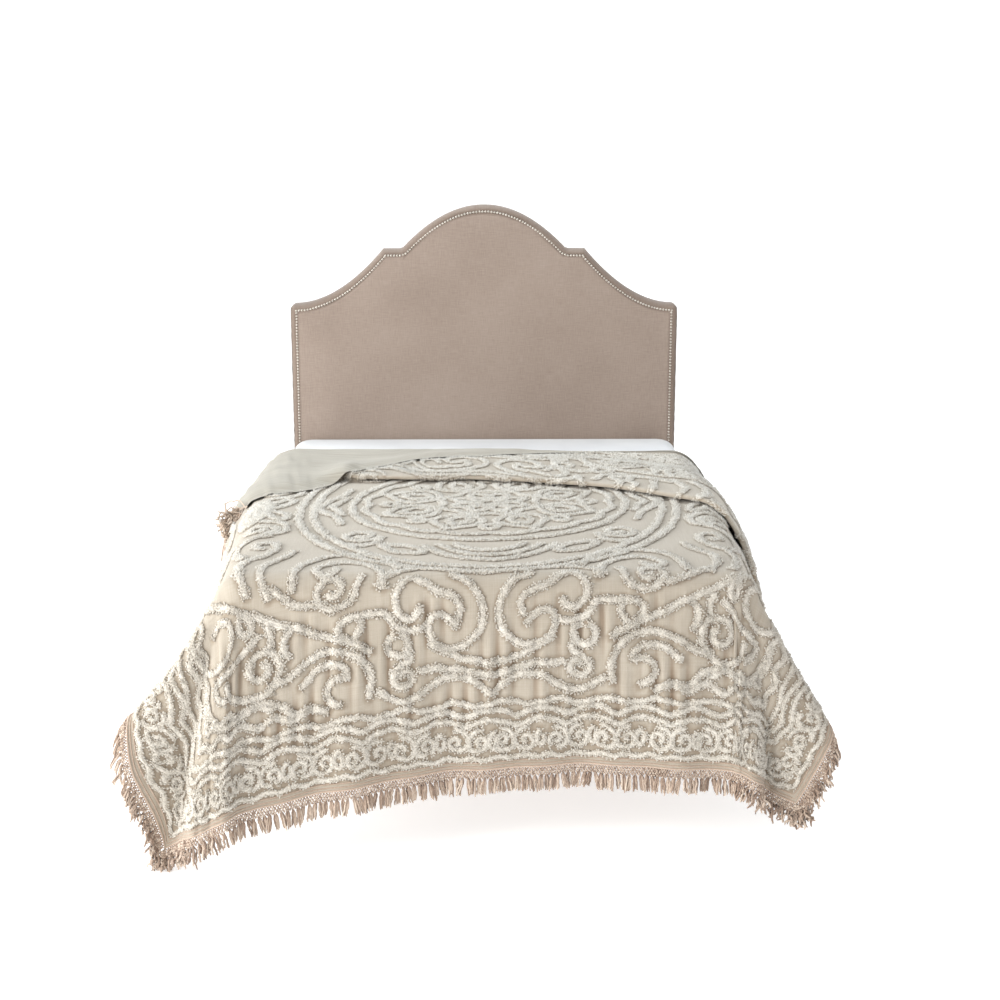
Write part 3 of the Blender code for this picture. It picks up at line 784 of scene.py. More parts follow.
# %% Making a piece
def make_piece(name, points, faces, look, uv=None, attributes=()):
    """An object from arrays, with its look, its flat places and the values its points carry."""
    mesh = bpy.data.meshes.new(name)
    mesh.from_pydata(points.tolist(), [], [list(face) for face in faces])
    mesh.materials.append(look)
    mesh.shade_smooth()
    if uv is not None:
        corners = np.empty(len(mesh.loops), dtype=np.int32)
        mesh.loops.foreach_get("vertex_index", corners)
        mesh.uv_layers.new(name="cloth").data.foreach_set("uv", uv[corners].ravel())
    for key, values in attributes:
        mesh.attributes.new(key, "FLOAT", "POINT").data.foreach_set("value", values)
    item = bpy.data.objects.new(name, mesh)
    bpy.context.scene.collection.objects.link(item)
    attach(item, "root")
    triangles = sum(len(p.vertices) - 2 for p in mesh.polygons)
    print(f"{name}: {triangles} triangles")
    return item


# %% [markdown]
# The ground is one mesh with two materials.  A real spread shows its face or its reverse, and so
# each face of the mesh takes one of the two looks: from half way round the fold at the head on,
# the cloth is turned over and shows its reverse.  A value at each point paints shade on the ground:
# high where the ground lies deep between its ribs, and a little raised in the bare strip along the
# hem.

# %% The ground cloth
HEM_STRIP = 0.034           # the bare strip between the hem and the first row of pile
# painted shade in the bare strip along the hem
HEM_STRIP_SHADE = 0.14

rows = sheet_t.shape[0]
# Painted shade: high deep between the ribs, and a little in the hem strip
painted_rib_and_hem_shade = np.clip(-relief(sheet_u, sheet_s) / PUCKER_HEIGHT, 0, 1)
from_hem = np.minimum(sheet_s, CLOTH_WIDTH / 2 - np.abs(sheet_u))
painted_rib_and_hem_shade = np.maximum(painted_rib_and_hem_shade, HEM_STRIP_SHADE * (from_hem < HEM_STRIP))
ground = make_piece("bedspread_ground", sheet_points.reshape(-1, 3), quads(rows, columns),
                    ground_look, uv=np.stack([sheet_u, sheet_s], -1).reshape(-1, 2),
                    attributes=[("painted_rib_and_hem_shade", painted_rib_and_hem_shade.ravel())])
ground.data.materials.append(reverse_look)
turned_from = (first_row["head"] + dict(ROW_CELLS)["head"] // 2) * (columns - 1)
turned_over = np.arange(len(ground.data.polygons)) >= turned_from
ground.data.polygons.foreach_set("material_index", turned_over.astype(np.int32))
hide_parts("bedspread")

# %% [markdown]
# ## Tufting
#
# A row of pile is a brush of cut yarn ends that stand up in clumps.  Each stroke of the pattern
# is a line on the flat cloth.  It is walked in small even steps; a low rounded ridge is laid
# along it as the body of the row, and small pointed clumps are stood on the ridge, four or
# five abreast.  The outer ones lean outwards, which gives the row its ragged edge.  Hair particles
# would also do, but they can't be kept as a mesh and would cost far more faces for the same look.

# %% Walking a stroke
def resample(path, step):
    """The path's points, an even step apart."""
    length = np.concatenate([[0], np.cumsum(np.linalg.norm(np.diff(path, axis=0), axis=1))])
    count = max(int(round(length[-1] / step)), 2)
    places = np.linspace(0, length[-1], count + 1)
    return np.stack([np.interp(places, length, path[:, i]) for i in (0, 1)], -1)


def walked(path, step):
    """Even points of a path and the way to its left at each."""
    path = resample(np.asarray(path, float), step)
    ahead = unit(np.gradient(path, axis=0))
    return path, np.stack([-ahead[:, 1], ahead[:, 0]], -1), ahead


# %% A ridge of pile
RIDGE_STEP = 0.010          # between rings of the ridge
RIDGE_CELLS = 3             # faces round the ridge
RIDGE_SHADE = 0.45           # painted shade: pile value on top of a ridge, which lies under the clumps
PILE_ROOT = -0.002          # the ridge starts this far under the ground's face


def ridge(path, width, height, rough=1.0):
    """Points, faces, flat places and pile values of the body of one stroke."""
    path, left, _ = walked(path, RIDGE_STEP)
    count = len(path)
    angle = pi * np.arange(RIDGE_CELLS + 1) / RIDGE_CELLS
    ends = np.minimum(np.arange(count), np.arange(count)[::-1])
    girth = (1 + 0.10 * rough * random.normal(0, 1, count)) * np.where(ends == 0, 0.6, 1.0)
    across = np.cos(angle)[None, :] * (width / 2 * girth)[:, None]
    crown = np.broadcast_to(np.sin(angle)[None, :] ** 0.6, across.shape)
    lift = PILE_ROOT + (height - PILE_ROOT) * crown * girth[:, None]
    flat = path[:, None, :] + left[:, None, :] * across[..., None]
    points = on_cloth(flat[..., 0], flat[..., 1], lift)
    # The pile values paint shade: darkest down the ridge's flanks, and dim on its crown
    return (points.reshape(-1, 3), quads(count, RIDGE_CELLS + 1), flat.reshape(-1, 2),
            RIDGE_SHADE * crown.ravel())


# %% [markdown]
# No row of pile is quite even.  `unsteady` is a slow random line that makes a stroke swell, thin
# out and stray a little from its mark.

# %% Where the clumps stand
CLUMP_PITCH = 0.0054        # between clumps, along a stroke
CLUMP_SPACE = 0.0048        # between clumps, across it
CLUMP_REACH = 0.0038        # half width of a clump at its foot
CLUMP_STRAY = (0.0014, 0.0018, 0.0022)     # chance shift of a clump across, forward, and of its tip
SWELL_EVERY = 4             # clumps from one turn of a stroke's width to the next
SWELL = 0.16
SWELL_MOST = 0.3


def unsteady(count, spacing, size):
    """A smooth random line of `count` values, with a fresh turn every `spacing` of them."""
    turns = random.normal(0, size, count // spacing + 3)
    return np.interp(np.arange(count), np.arange(len(turns)) * spacing, turns)


def clump_feet(path, left, ahead, width):
    """Where the clumps of one stroke stand, and their places across it from -1 to 1."""
    abreast = max(int(round(width / CLUMP_SPACE)), 2)
    row = (np.arange(abreast) - (abreast - 1) / 2) / ((abreast - 1) / 2)
    shape = (len(path), abreast)
    swell = 1 + np.clip(unsteady(len(path), SWELL_EVERY, SWELL), -SWELL_MOST, SWELL_MOST)
    across = row * (width / 2 - CLUMP_REACH * 0.6) * swell[:, None]
    across = across + random.normal(0, CLUMP_STRAY[0], shape)
    forward = np.where(np.arange(abreast) % 2, CLUMP_PITCH / 2, 0.0)
    forward = forward + random.normal(0, CLUMP_STRAY[1], shape)
    foot = path[:, None] + left[:, None] * across[..., None] + ahead[:, None] * forward[..., None]
    return foot, row


# %% [markdown]
# A clump is a small pyramid that stands on its square foot.  Cut yarn ends never match, so its
# height, girth, lean and tone are left to chance.  The outer clumps of a row are lower, and darker
# by painted shade, which rounds the row off; the roots get painted shade as well.

# %% Clumps on a ridge
CLUMP_SIDES = 4
CLUMP_LEAN = 0.0030         # how far the outer tips lean outwards
CLUMP_ROOT = 0.15           # where a clump starts, as a share of the pile's height
CLUMP_RISE = (0.60, 1.40)   # the lowest and highest tips, as shares of the pile's height
CLUMP_GIRTH = (0.75, 1.3)   # the thinnest and thickest feet, as shares of the reach
CLUMP_TONES = (0.45, 1.0)   # `pile` at the tips
# painted shade at the clumps' roots
ROOT_SHADE = 0.05
OUTER_SINK_AND_SHADE = 0.12           # how much lower, and darker by painted shade, the outermost clumps are


def clumps(path, width, height):
    """The cut yarn ends on one stroke, as small pointed clumps."""
    path, left, ahead = walked(path, CLUMP_PITCH)
    foot, row = clump_feet(path, left, ahead, width)
    shape = foot.shape[:2]
    lean = left[:, None] * (row * CLUMP_LEAN)[None, :, None]
    lean = lean + random.normal(0, CLUMP_STRAY[2], (*shape, 2))
    tip = foot + lean
    rise = height * random.uniform(*CLUMP_RISE, shape) * (1 - OUTER_SINK_AND_SHADE * np.abs(row))
    turn = random.uniform(0, 2 * pi, shape)[..., None] + 2 * pi * np.arange(CLUMP_SIDES) / CLUMP_SIDES
    reach = CLUMP_REACH * random.uniform(*CLUMP_GIRTH, (*shape, 1))
    base = foot[..., None, :] + np.stack([np.cos(turn), np.sin(turn)], -1) * reach[..., None]
    flat = np.concatenate([base, tip[..., None, :]], axis=2).reshape(-1, CLUMP_SIDES + 1, 2)
    low = np.full((*shape, CLUMP_SIDES), height * CLUMP_ROOT)
    lift = np.concatenate([low, rise[..., None]], axis=2).reshape(-1, CLUMP_SIDES + 1)
    points = on_cloth(flat[..., 0], flat[..., 1], lift)
    # Tips take a chance tone, with painted shade on the outer clumps
    tone = random.uniform(*CLUMP_TONES, shape)[..., None] * (1 - OUTER_SINK_AND_SHADE * np.abs(row))[:, None]
    roots = np.full((*shape, CLUMP_SIDES), ROOT_SHADE)
    pile = np.concatenate([roots, tone], axis=2).reshape(lift.shape)
    side = np.arange(CLUMP_SIDES)
    faces = np.stack([side, (side + 1) % CLUMP_SIDES, np.full(CLUMP_SIDES, CLUMP_SIDES)], -1)
    first = (CLUMP_SIDES + 1) * np.arange(len(flat))[:, None, None]
    faces = (faces[None] + first).reshape(-1, 3)
    return points.reshape(-1, 3), faces, flat.reshape(-1, 2), pile.ravel()


# %% Joining small meshes
def joined(parts):
    """Many small meshes as one: points, faces and the rest."""
    offset, faces = 0, []
    for part in parts:
        faces += (part[1] + offset).tolist()
        offset += len(part[0])
    arrays = list(zip(*parts))
    return (np.concatenate(arrays[0]), faces, *[np.concatenate(values) for values in arrays[2:]])


# %% [markdown]
# Only pile that can be seen is made.  Under the pleat and under the turned part the cloth lies
# face to face or face down, so a stroke is cut where it goes in there.

# %% Cutting a stroke
SHOW_UNDER = 0.05           # how far strokes go on under the pleat
SHOW_BEHIND = 0.10          # and under the turned part
SHOW_BEFORE = 0.02          # how far round the pleat's top bend they start again
BARE_EDGE = 0.006           # no pile this close to the cloth's edge
SHORTEST_RUN = 4            # points; shorter scraps of a stroke are left out


def shows(path):
    """Which of a stroke's points lie on cloth that can be seen."""
    u, s = path[:, 0], path[:, 1]
    c = Column(u)
    t = s + c.hem
    before = t < c.front + SHOW_UNDER
    place = t - c.upper + c.front + FOLD_RADIUS
    behind = (t > c.upper - SHOW_BEFORE) & (place < c.edge + SHOW_BEHIND) & (place < HEAD_FOLD)
    inside = (np.abs(u) < CLOTH_WIDTH / 2 - BARE_EDGE) & (s > BARE_EDGE)
    return (before | behind) & inside


def runs(path, keep):
    """The stretches of a path whose points are kept."""
    cut = np.flatnonzero(np.diff(keep.astype(int))) + 1
    pieces = np.split(np.arange(len(path)), cut)
    return [path[i] for i in pieces if keep[i[0]] and len(i) >= SHORTEST_RUN]


# %% [markdown]
# ## The pattern
#
# The marks that a maker would stamp on the ground before tufting are drawn here as lines.  Four
# small tools draw nearly all of them: an arc, a scroll end, a soft line through a few places, and
# a pointed leaf.  The design is a traditional one for such spreads: a flower medallion in the
# middle inside two rings, leaves and scrolls round it, a long lozenge that frames them, curls
# outside it, and a border of small scrolls between straight and scalloped rows.  It is drawn for
# one quarter of the cloth, as places `(across from the middle, up from the foot hem)`, and
# mirrored, just as a stamping pattern is folded in four.

# %% Drawing tools
MIDDLE = 1.446              # the medallion's middle, up from the foot hem


def arc(centre, radii, start, stop, points=48):
    """Part of an ellipse, from one angle to another in degrees."""
    angle = np.radians(np.linspace(start, stop, points))
    return np.stack([centre[0] + radii[0] * np.cos(angle), centre[1] + radii[1] * np.sin(angle)], -1)


def curl(centre, outer, inner, start, turns, points=60):
    """A scroll end that winds in from `start` degrees, anticlockwise for positive turns."""
    share = np.linspace(0, 1, points)
    angle = np.radians(start + 360 * turns * share)
    radius = outer + (inner - outer) * share ** 0.85
    return np.stack([centre[0] + radius * np.cos(angle), centre[1] + radius * np.sin(angle)], -1)


def smooth(*points):
    """A soft line through a few places."""
    knots = np.array(points, float)
    padded = np.concatenate([2 * knots[:1] - knots[1:2], knots, 2 * knots[-1:] - knots[-2:-1]])
    line = []
    for a, b, c, d in zip(padded, padded[1:], padded[2:], padded[3:]):
        t = np.linspace(0, 1, 12, endpoint=False)[:, None]
        line.append(0.5 * (2 * b + (c - a) * t + (2 * a - 5 * b + 4 * c - d) * t ** 2
                           + (3 * b - a - 3 * c + d) * t ** 3))
    return np.concatenate(line + [knots[-1:]])


def leaf(root, tip, width, points=24):
    """A pointed leaf outline from its root round to its root again."""
    root, tip = np.array(root, float), np.array(tip, float)
    share = np.linspace(0, 1, points)[:, None]
    side = np.array([root[1] - tip[1], tip[0] - root[0]]) / np.linalg.norm(tip - root)
    belly = width / 2 * np.sin(pi * share ** 0.8)
    spine = root + (tip - root) * share
    return np.concatenate([spine + side * belly, (spine - side * belly)[::-1]])


def mirrored(paths):
    """The strokes of one quarter, on both sides and at both ends."""
    both = [path * side for path in paths for side in ((1, 1), (-1, 1))]
    return both + [path * (1, -1) + (0, 2 * MIDDLE) for path in both]


# %% [markdown]
# The middle: a flower of eight wide petals round a smaller one, inside a scalloped row and a round
# one; then the long double ring that the scrolls lean on.  Between the two rings sit fans at the
# foot, darts at the sides, and a leaf and a curl at each quarter.

# %% Medallion
def ring(rx, ry, wave=0.0, waves=0):
    """A closed ring round the middle of the cloth, plain or scalloped."""
    angle = np.linspace(0, 2 * pi, 240)
    size = 1 + wave * np.abs(np.sin(angle * waves / 2))
    return np.stack([rx * size * np.cos(angle), MIDDLE + ry * size * np.sin(angle)], -1)


def medallion():
    strokes = [ring(0.030, 0.030), ring(0.150, 0.150, 0.14, 8)]
    middle = np.array([0.0, MIDDLE])
    for i in range(8):
        angle = pi / 4 * i + pi / 8
        out = np.array([np.cos(angle), np.sin(angle)])
        strokes.append(leaf(middle + out * 0.050, middle + out * 0.140, 0.056))
        strokes.append(leaf(middle + out * 0.185, middle + out * 0.375, 0.165))
        strokes.append(leaf(middle + out * 0.215, middle + out * 0.320, 0.070))
        between = np.array([np.cos(angle + pi / 8), np.sin(angle + pi / 8)])
        strokes.append(arc(middle + between * 0.330, (0.026, 0.026), 0, 345, 24))
    return strokes + [ring(0.400, 0.405, 0.05, 16), ring(0.460, 0.490)]


def long_ring():
    strokes = [ring(0.582, 0.800), ring(0.630, 0.846)]
    quarter = [
        smooth((0.00, 0.722), (0.080, 0.752), (0.150, 0.812), (0.210, 0.900)),
        smooth((0.00, 0.775), (0.065, 0.797), (0.120, 0.845), (0.160, 0.905)),
        smooth((0.00, 0.832), (0.050, 0.846), (0.090, 0.880), (0.105, 0.920)),
        leaf((0.205, 0.815), (0.340, 0.930), 0.075),
        curl((0.405, 1.045), 0.070, 0.020, 200, 1.35),
        smooth((0.340, 1.020), (0.352, 0.960), (0.400, 0.925), (0.452, 0.950)),
        smooth((0.478, 1.200), (0.498, 1.290), (0.540, 1.360), (0.572, MIDDLE)),
        smooth((0.486, 1.320), (0.500, 1.385), (0.528, MIDDLE)),
    ]
    return strokes + mirrored(quarter)


middle_strokes = medallion() + long_ring()
print(f"{len(middle_strokes)} strokes in the middle")

# %% [markdown]
# Outside the ring: wide C scrolls under its shoulders, S scrolls rising beside it, and leaves at
# its sides.

# %% Scrolls at the shoulders
def shoulders():
    quarter = [
        smooth((0.270, 0.655), (0.300, 0.735), (0.350, 0.795), (0.430, 0.822), (0.510, 0.795),
               (0.555, 0.735), (0.572, 0.665), (0.575, 0.600)),
        smooth((0.310, 0.560), (0.330, 0.645), (0.372, 0.712), (0.440, 0.738), (0.492, 0.712),
               (0.512, 0.662), (0.488, 0.628), (0.455, 0.645), (0.452, 0.680)),
        smooth((0.640, 0.590), (0.672, 0.680), (0.664, 0.765), (0.620, 0.840), (0.598, 0.905)),
        smooth((0.705, 0.610), (0.735, 0.705), (0.728, 0.800), (0.680, 0.870), (0.652, 0.945),
               (0.668, 1.010), (0.712, 1.008), (0.716, 0.960), (0.690, 0.945)),
        smooth((0.740, 0.850), (0.775, 0.930), (0.775, 1.020), (0.735, 1.085), (0.690, 1.110)),
        curl((0.735, 1.185), 0.062, 0.016, 250, -1.3),
        smooth((0.714, 1.127), (0.660, 1.140), (0.650, 1.215), (0.680, 1.275), (0.740, 1.290)),
        leaf((0.668, 1.310), (0.735, 1.440), 0.050),
        leaf((0.775, 1.290), (0.795, 1.600), 0.090),
        leaf((0.785, 1.370), (0.790, 1.520), 0.036),
        smooth((0.820, 0.760), (0.870, 0.840), (0.875, 0.935), (0.835, 1.010), (0.800, 1.085)),
        curl((0.880, 1.085), 0.075, 0.018, 110, 1.35),
        smooth((0.854, 1.156), (0.900, 1.210), (0.905, 1.300), (0.880, 1.370), (0.880, MIDDLE)),
    ]
    return mirrored(quarter)


shoulder_strokes = shoulders()
print(f"{len(shoulder_strokes)} strokes at the shoulders")

# %% [markdown]
# Where the cloth turns down at the foot: a pair of large C scrolls back to back, each running
# into a small one, with a garland below them that spreads to both sides.

# %% Scrolls at the foot
def foot_scrolls():
    quarter = [
        smooth((0.205, 0.642), (0.252, 0.628), (0.300, 0.606), (0.330, 0.572)),
        smooth((0.120, 0.590), (0.065, 0.556), (0.030, 0.510), (0.022, 0.455), (0.045, 0.402),
               (0.090, 0.372), (0.140, 0.374), (0.178, 0.408), (0.184, 0.448), (0.158, 0.472),
               (0.122, 0.458), (0.100, 0.430)),
        smooth((0.094, 0.452), (0.088, 0.492), (0.112, 0.524), (0.155, 0.540), (0.195, 0.570),
               (0.238, 0.584), (0.270, 0.556), (0.276, 0.508), (0.252, 0.470), (0.218, 0.472),
               (0.204, 0.502)),
        smooth((0.190, 0.440), (0.236, 0.434), (0.280, 0.455), (0.305, 0.490), (0.350, 0.494),
               (0.398, 0.494), (0.438, 0.478), (0.442, 0.445), (0.408, 0.426)),
        arc((0.270, 0.395), (0.032, 0.032), 100, 430, 30),
        smooth((0.242, 0.382), (0.232, 0.350), (0.258, 0.336), (0.284, 0.312)),
        curl((0.250, 0.300), 0.036, 0.012, 30, -1.1),
        smooth((0.378, 0.488), (0.376, 0.458), (0.396, 0.424)),
        smooth((0.00, 0.322), (0.070, 0.336), (0.128, 0.360), (0.178, 0.392)),
        smooth((0.00, 0.285), (0.070, 0.300), (0.140, 0.312), (0.214, 0.316)),
        smooth((0.345, 0.385), (0.400, 0.418), (0.470, 0.446), (0.550, 0.486), (0.640, 0.530),
               (0.750, 0.588), (0.850, 0.650), (0.930, 0.730)),
        curl((0.460, 0.578), 0.056, 0.016, -100, 1.2),
        smooth((0.450, 0.522), (0.402, 0.540), (0.388, 0.585), (0.372, 0.612)),
        smooth((0.505, 0.545), (0.560, 0.560), (0.604, 0.590), (0.640, 0.625)),
    ]
    return mirrored(quarter)


foot_strokes = foot_scrolls()
print(f"{len(foot_strokes)} strokes at the foot and the head")

# %% [markdown]
# Below the lozenge run waves with curled crests, and each corner has a long hook, a vine and a
# spiral.

# %% Waves at the foot and hooks at the corners
def outer_curls():
    quarter = [
        smooth((0.00, 0.228), (0.048, 0.268), (0.100, 0.286), (0.155, 0.276), (0.205, 0.243),
               (0.248, 0.228), (0.290, 0.244), (0.330, 0.270)),
        smooth((0.352, 0.250), (0.348, 0.312), (0.376, 0.366), (0.428, 0.398), (0.490, 0.402),
               (0.548, 0.378), (0.588, 0.350), (0.640, 0.342)),
        smooth((0.430, 0.242), (0.464, 0.262), (0.472, 0.300), (0.446, 0.325), (0.412, 0.318),
               (0.418, 0.347), (0.458, 0.366), (0.506, 0.356), (0.550, 0.318)),
        smooth((0.470, 0.230), (0.520, 0.252), (0.575, 0.246), (0.610, 0.282), (0.665, 0.296),
               (0.720, 0.280)),
        smooth((0.575, 0.500), (0.602, 0.455), (0.584, 0.408)),
        curl((0.662, 0.400), 0.060, 0.016, 215, -1.3),
        smooth((0.650, 0.520), (0.636, 0.478), (0.640, 0.448)),
        smooth((0.613, 0.366), (0.650, 0.322), (0.715, 0.318), (0.765, 0.342), (0.790, 0.390)),
        smooth((0.820, 0.745), (0.888, 0.672), (0.925, 0.585), (0.908, 0.492), (0.846, 0.446),
               (0.776, 0.470), (0.760, 0.532), (0.800, 0.572), (0.846, 0.552)),
        smooth((0.846, 0.404), (0.832, 0.360), (0.786, 0.335)),
        smooth((0.846, 0.404), (0.800, 0.412), (0.745, 0.432), (0.705, 0.462), (0.670, 0.500)),
        smooth((0.720, 0.272), (0.790, 0.268), (0.850, 0.300), (0.886, 0.352), (0.900, 0.416)),
        leaf((0.700, 0.500), (0.722, 0.566), 0.034),
    ]
    return mirrored(quarter)


outer_strokes = outer_curls()
print(f"{len(outer_strokes)} strokes outside the lozenge")

# %% [markdown]
# Between the corners' hooks and the border, two rows turn each corner in soft zigzags.  They are
# straight lines pushed aside by a sine wave, which dies out at the corner itself.

# %% Rows round the corners
CORNER_ROWS = ((0.240, 0.44, 0.86), (0.284, 0.28, 0.74))    # inset, reach along foot and side
ZIGZAG = (0.011, 0.098)                                     # height and length of one wave
DRAWN_STEP = 0.008


def zigzag(along):
    """How far a row is pushed aside at a distance from its corner."""
    height, wavelength = ZIGZAG
    return height * np.sin(2 * pi * along / wavelength) * ease(along / 0.05)


def corner_lines():
    quarter = []
    for inset, foot_reach, side_reach in CORNER_ROWS:
        corner = CLOTH_WIDTH / 2 - inset
        along = np.arange(0.0, foot_reach, DRAWN_STEP)[::-1]
        foot = np.stack([corner - along, inset + zigzag(along)], -1)
        up = np.arange(DRAWN_STEP, side_reach, DRAWN_STEP)
        side = np.stack([corner - zigzag(up), inset + up], -1)
        quarter.append(np.concatenate([foot, side]))
    return mirrored(quarter)


corner_strokes = corner_lines()
print(f"{len(corner_strokes)} rows round the corners")

# %% [markdown]
# The border is drawn once as a strip, `(along the edge, in from the edge)`, and laid along the
# foot and both sides.  At the corners the strips meet on the diagonal, as they would on a quilt.

# %% A strip of border
BAND_PITCH = 0.1475


def border_strip(length):
    """Strokes of a border strip: a straight row, small scrolls, two scalloped rows and a wavy one."""
    count = int(round(length / BAND_PITCH))
    pitch = length / count
    along = np.arange(-length / 2, length / 2, 0.004)
    scallop = np.abs(np.sin(pi * along / pitch + pi / 2))
    strokes = [(0.0166, np.stack([along, 0.037 + 0.004 * np.sin(4 * pi * along / pitch)], -1))]
    strokes += [(0.0190, np.stack([along, inset + 0.024 * scallop], -1)) for inset in (0.128, 0.158)]
    strokes += [(0.0190, np.stack([along, 0.199 + 0.007 * np.sin(2 * pi * along / pitch)], -1))]
    for i in range(count):
        middle = -length / 2 + (i + 0.5) * pitch + random.uniform(-0.008, 0.008)
        drop = arc((middle + pitch / 2, 0.090), (0.012, 0.024), 60, 395, 24)
        strokes.append((0.0155, drop))
        size = random.uniform(0.9, 1.15)
        for side in (-1, 1):
            start = 265 + random.uniform(-40, 40)
            motif = [
                curl((0.036, 0.086), 0.027 * size, 0.008, start, 1.05),
                smooth((0.034, 0.058), (0.009, 0.064), (0.000, 0.088), (0.014, 0.116), (0.042, 0.124)),
            ]
            strokes += [(0.0166, stroke * (side, 1) + (middle, 0)) for stroke in motif]
    return strokes


# %% The border round the cloth
def laid_border():
    """The border along the foot, the two sides and the head, cut on the diagonals."""
    half = CLOTH_WIDTH / 2
    strokes = []
    for width, path in border_strip(CLOTH_WIDTH):
        for keep in runs(path, path[:, 1] <= half - np.abs(path[:, 0])):
            strokes += [(width, keep), (width, keep * (1, -1) + (0, 2 * MIDDLE))]
    for width, path in border_strip(2 * MIDDLE):
        for keep in runs(path, path[:, 1] <= MIDDLE - np.abs(path[:, 0])):
            side = np.stack([half - keep[:, 1], keep[:, 0] + MIDDLE], -1)
            strokes += [(width, side), (width, side * (-1, 1))]
    return strokes


border = laid_border()
print(f"{len(border)} strokes in the border")

# %% [markdown]
# On the real spread every row is sewn with the same needle, so all strokes go through one
# function.  Each group of strokes becomes one piece, so that no piece is too heavy.

# %% Tuft the pattern
PILE_WIDTH = 0.0240
PILE_HEIGHT = 0.0088
STRAY = 0.0020              # how far a stroke strays from its mark
RIDGE_WIDTH = 0.94          # the ridge's size, as shares of the pile's
RIDGE_HEIGHT = 0.5


def tufted(name, strokes):
    """Sew a group of strokes, given as (width, path), and make them one piece."""
    parts, length = [], 0.0
    for width, path in strokes:
        path, left, _ = walked(path, CLUMP_PITCH)
        path = path + left * unsteady(len(path), 5, STRAY)[:, None]
        height = PILE_HEIGHT * (width / PILE_WIDTH) ** 0.5
        for piece in runs(path, shows(path)):
            parts.append(ridge(piece, width * RIDGE_WIDTH, height * RIDGE_HEIGHT))
            parts.append(clumps(piece, width, height))
            length += np.linalg.norm(np.diff(piece, axis=0), axis=1).sum()
    points, faces, flat, pile = joined(parts)
    item = make_piece(name, points, faces, chenille_look, uv=flat, attributes=[("pile", pile)])
    print(f"{length:.1f} m of pile")
    return item


def wide(strokes):
    return [(PILE_WIDTH, path) for path in strokes]


groups = {
    "tufts_medallion": wide(middle_strokes),
    "tufts_shoulders": wide(shoulder_strokes + corner_strokes),
    "tufts_foot_scrolls": wide(foot_strokes + outer_strokes),
    "tufts_border_foot": border[:len(border) // 2],
    "tufts_border_sides": border[len(border) // 2:],
}
tufts = [tufted(name, strokes) for name, strokes in groups.items()]

# %% [markdown]
# Every stitch draws the ground down with it, so the cloth dips out of the light right beside a
# row of pile.  `beside` marks the ground by its distance from the nearest row, and the ground's
# look paints shade there in place of the dip.  Sinking the mesh instead would need a grid far finer
# than the dips.

# %% Painted shade beside the pile
DIP_SHADE_START = 0.010           # half the width of a row
DIP_SHADE_RUN = 0.010             # the painted shade fades out over this
DIP_LOOK = 0.006            # between the places along a row that are looked up


def paint_dip_shade():
    """Give the ground its `beside` values for painted shade: 1 next to a row of pile and 0 away from
    it.
    """
    rows_of_pile = [path for strokes in groups.values() for _, path in strokes]
    places = np.concatenate([resample(path, DIP_LOOK) for path in rows_of_pile])
    tree = KDTree(len(places))
    for i, (u, s) in enumerate(places):
        tree.insert((u, s, 0.0), i)
    tree.balance()
    away = np.array([tree.find((u, s, 0.0))[2] for u, s in zip(sheet_u.ravel(), sheet_s.ravel())])
    beside = 1 - np.clip((away - DIP_SHADE_START) / DIP_SHADE_RUN, 0, 1)
    layer = ground.data.attributes.new("beside", "FLOAT", "POINT")
    layer.data.foreach_set("value", beside.astype(np.float32))
    print(f"{(beside > 0.5).mean():.0%} of the ground lies close to a row")


paint_dip_shade()

# %% [markdown]
# ## The fringe
#
# Yarn ends are drawn through the hem in pairs, crossed and knotted twice into a narrow net, and
# left to hang as small tassels.  A strand leaves the hem the way the cloth points there and
# then gives way to its own weight, so at the flared corners it stands out sideways.  Curves with
# a bevel could be the yarns, but there are thousands, and arrays make them all in one go.

# %% Yarns
YARN_CORNERS = 4            # a square yarn is round enough at this size


def rods(paths, radii, shades):
    """Square yarns along many paths at once: points, faces and how light each yarn is."""
    count, steps = paths.shape[:2]
    ahead = unit(np.gradient(paths, axis=1))
    side = unit(np.cross(ahead, np.array([0.31, 0.52, 0.795])))
    other = np.cross(ahead, side)
    angle = pi / 2 * np.arange(YARN_CORNERS) + pi / 4
    spread = side[..., None, :] * np.cos(angle)[:, None]
    spread = spread + other[..., None, :] * np.sin(angle)[:, None]
    points = paths[..., None, :] + spread * radii[..., None, None]
    ring_number = np.arange(count)[:, None, None] * steps + np.arange(steps - 1)[None, :, None]
    near = ring_number * YARN_CORNERS
    far = near + YARN_CORNERS
    corner = np.arange(YARN_CORNERS)[None, None, :]
    following = (corner + 1) % YARN_CORNERS
    faces = np.stack([near + corner, near + following, far + following, far + corner], -1)
    tone = np.broadcast_to(shades[..., None], (count, steps, YARN_CORNERS))
    return points.reshape(-1, 3), faces.reshape(-1, 4), tone.reshape(-1)


# %% Knots
KNOT_SIZE = 0.0042
CRUSH_KNOT = 0.35           # how much thicker knots are where the fringe is crushed


def knots(centres, crush):
    """A small eight-sided knot at each centre."""
    shape = np.array([(1, 0, 0), (0, 1, 0), (-1, 0, 0), (0, -1, 0), (0, 0, 1), (0, 0, -1)], float)
    faces = np.array([(0, 1, 4), (1, 2, 4), (2, 3, 4), (3, 0, 4),
                      (1, 0, 5), (2, 1, 5), (3, 2, 5), (0, 3, 5)])
    sizes = KNOT_SIZE * random.uniform(0.8, 1.2, (len(centres), 6, 1))
    sizes = sizes * (1 + CRUSH_KNOT * crush)[:, None, None]
    points = (centres[:, None, :] + shape[None] * sizes).reshape(-1, 3)
    tone = np.repeat(random.uniform(0.35, 1.0, len(centres)), 6)
    return points, (faces[None] + 6 * np.arange(len(centres))[:, None, None]).reshape(-1, 3), tone


# %% [markdown]
# An edge of the cloth is given as flat places; `hem_frame` walks it in even steps and returns the
# hem's points and the ways off the cloth and along it.

# %% Walking an edge
TASSEL_PITCH = 0.0165
NET_PITCH = TASSEL_PITCH / 2
HEM_LOOK = 0.012            # how far inside the hem the cloth's direction is taken


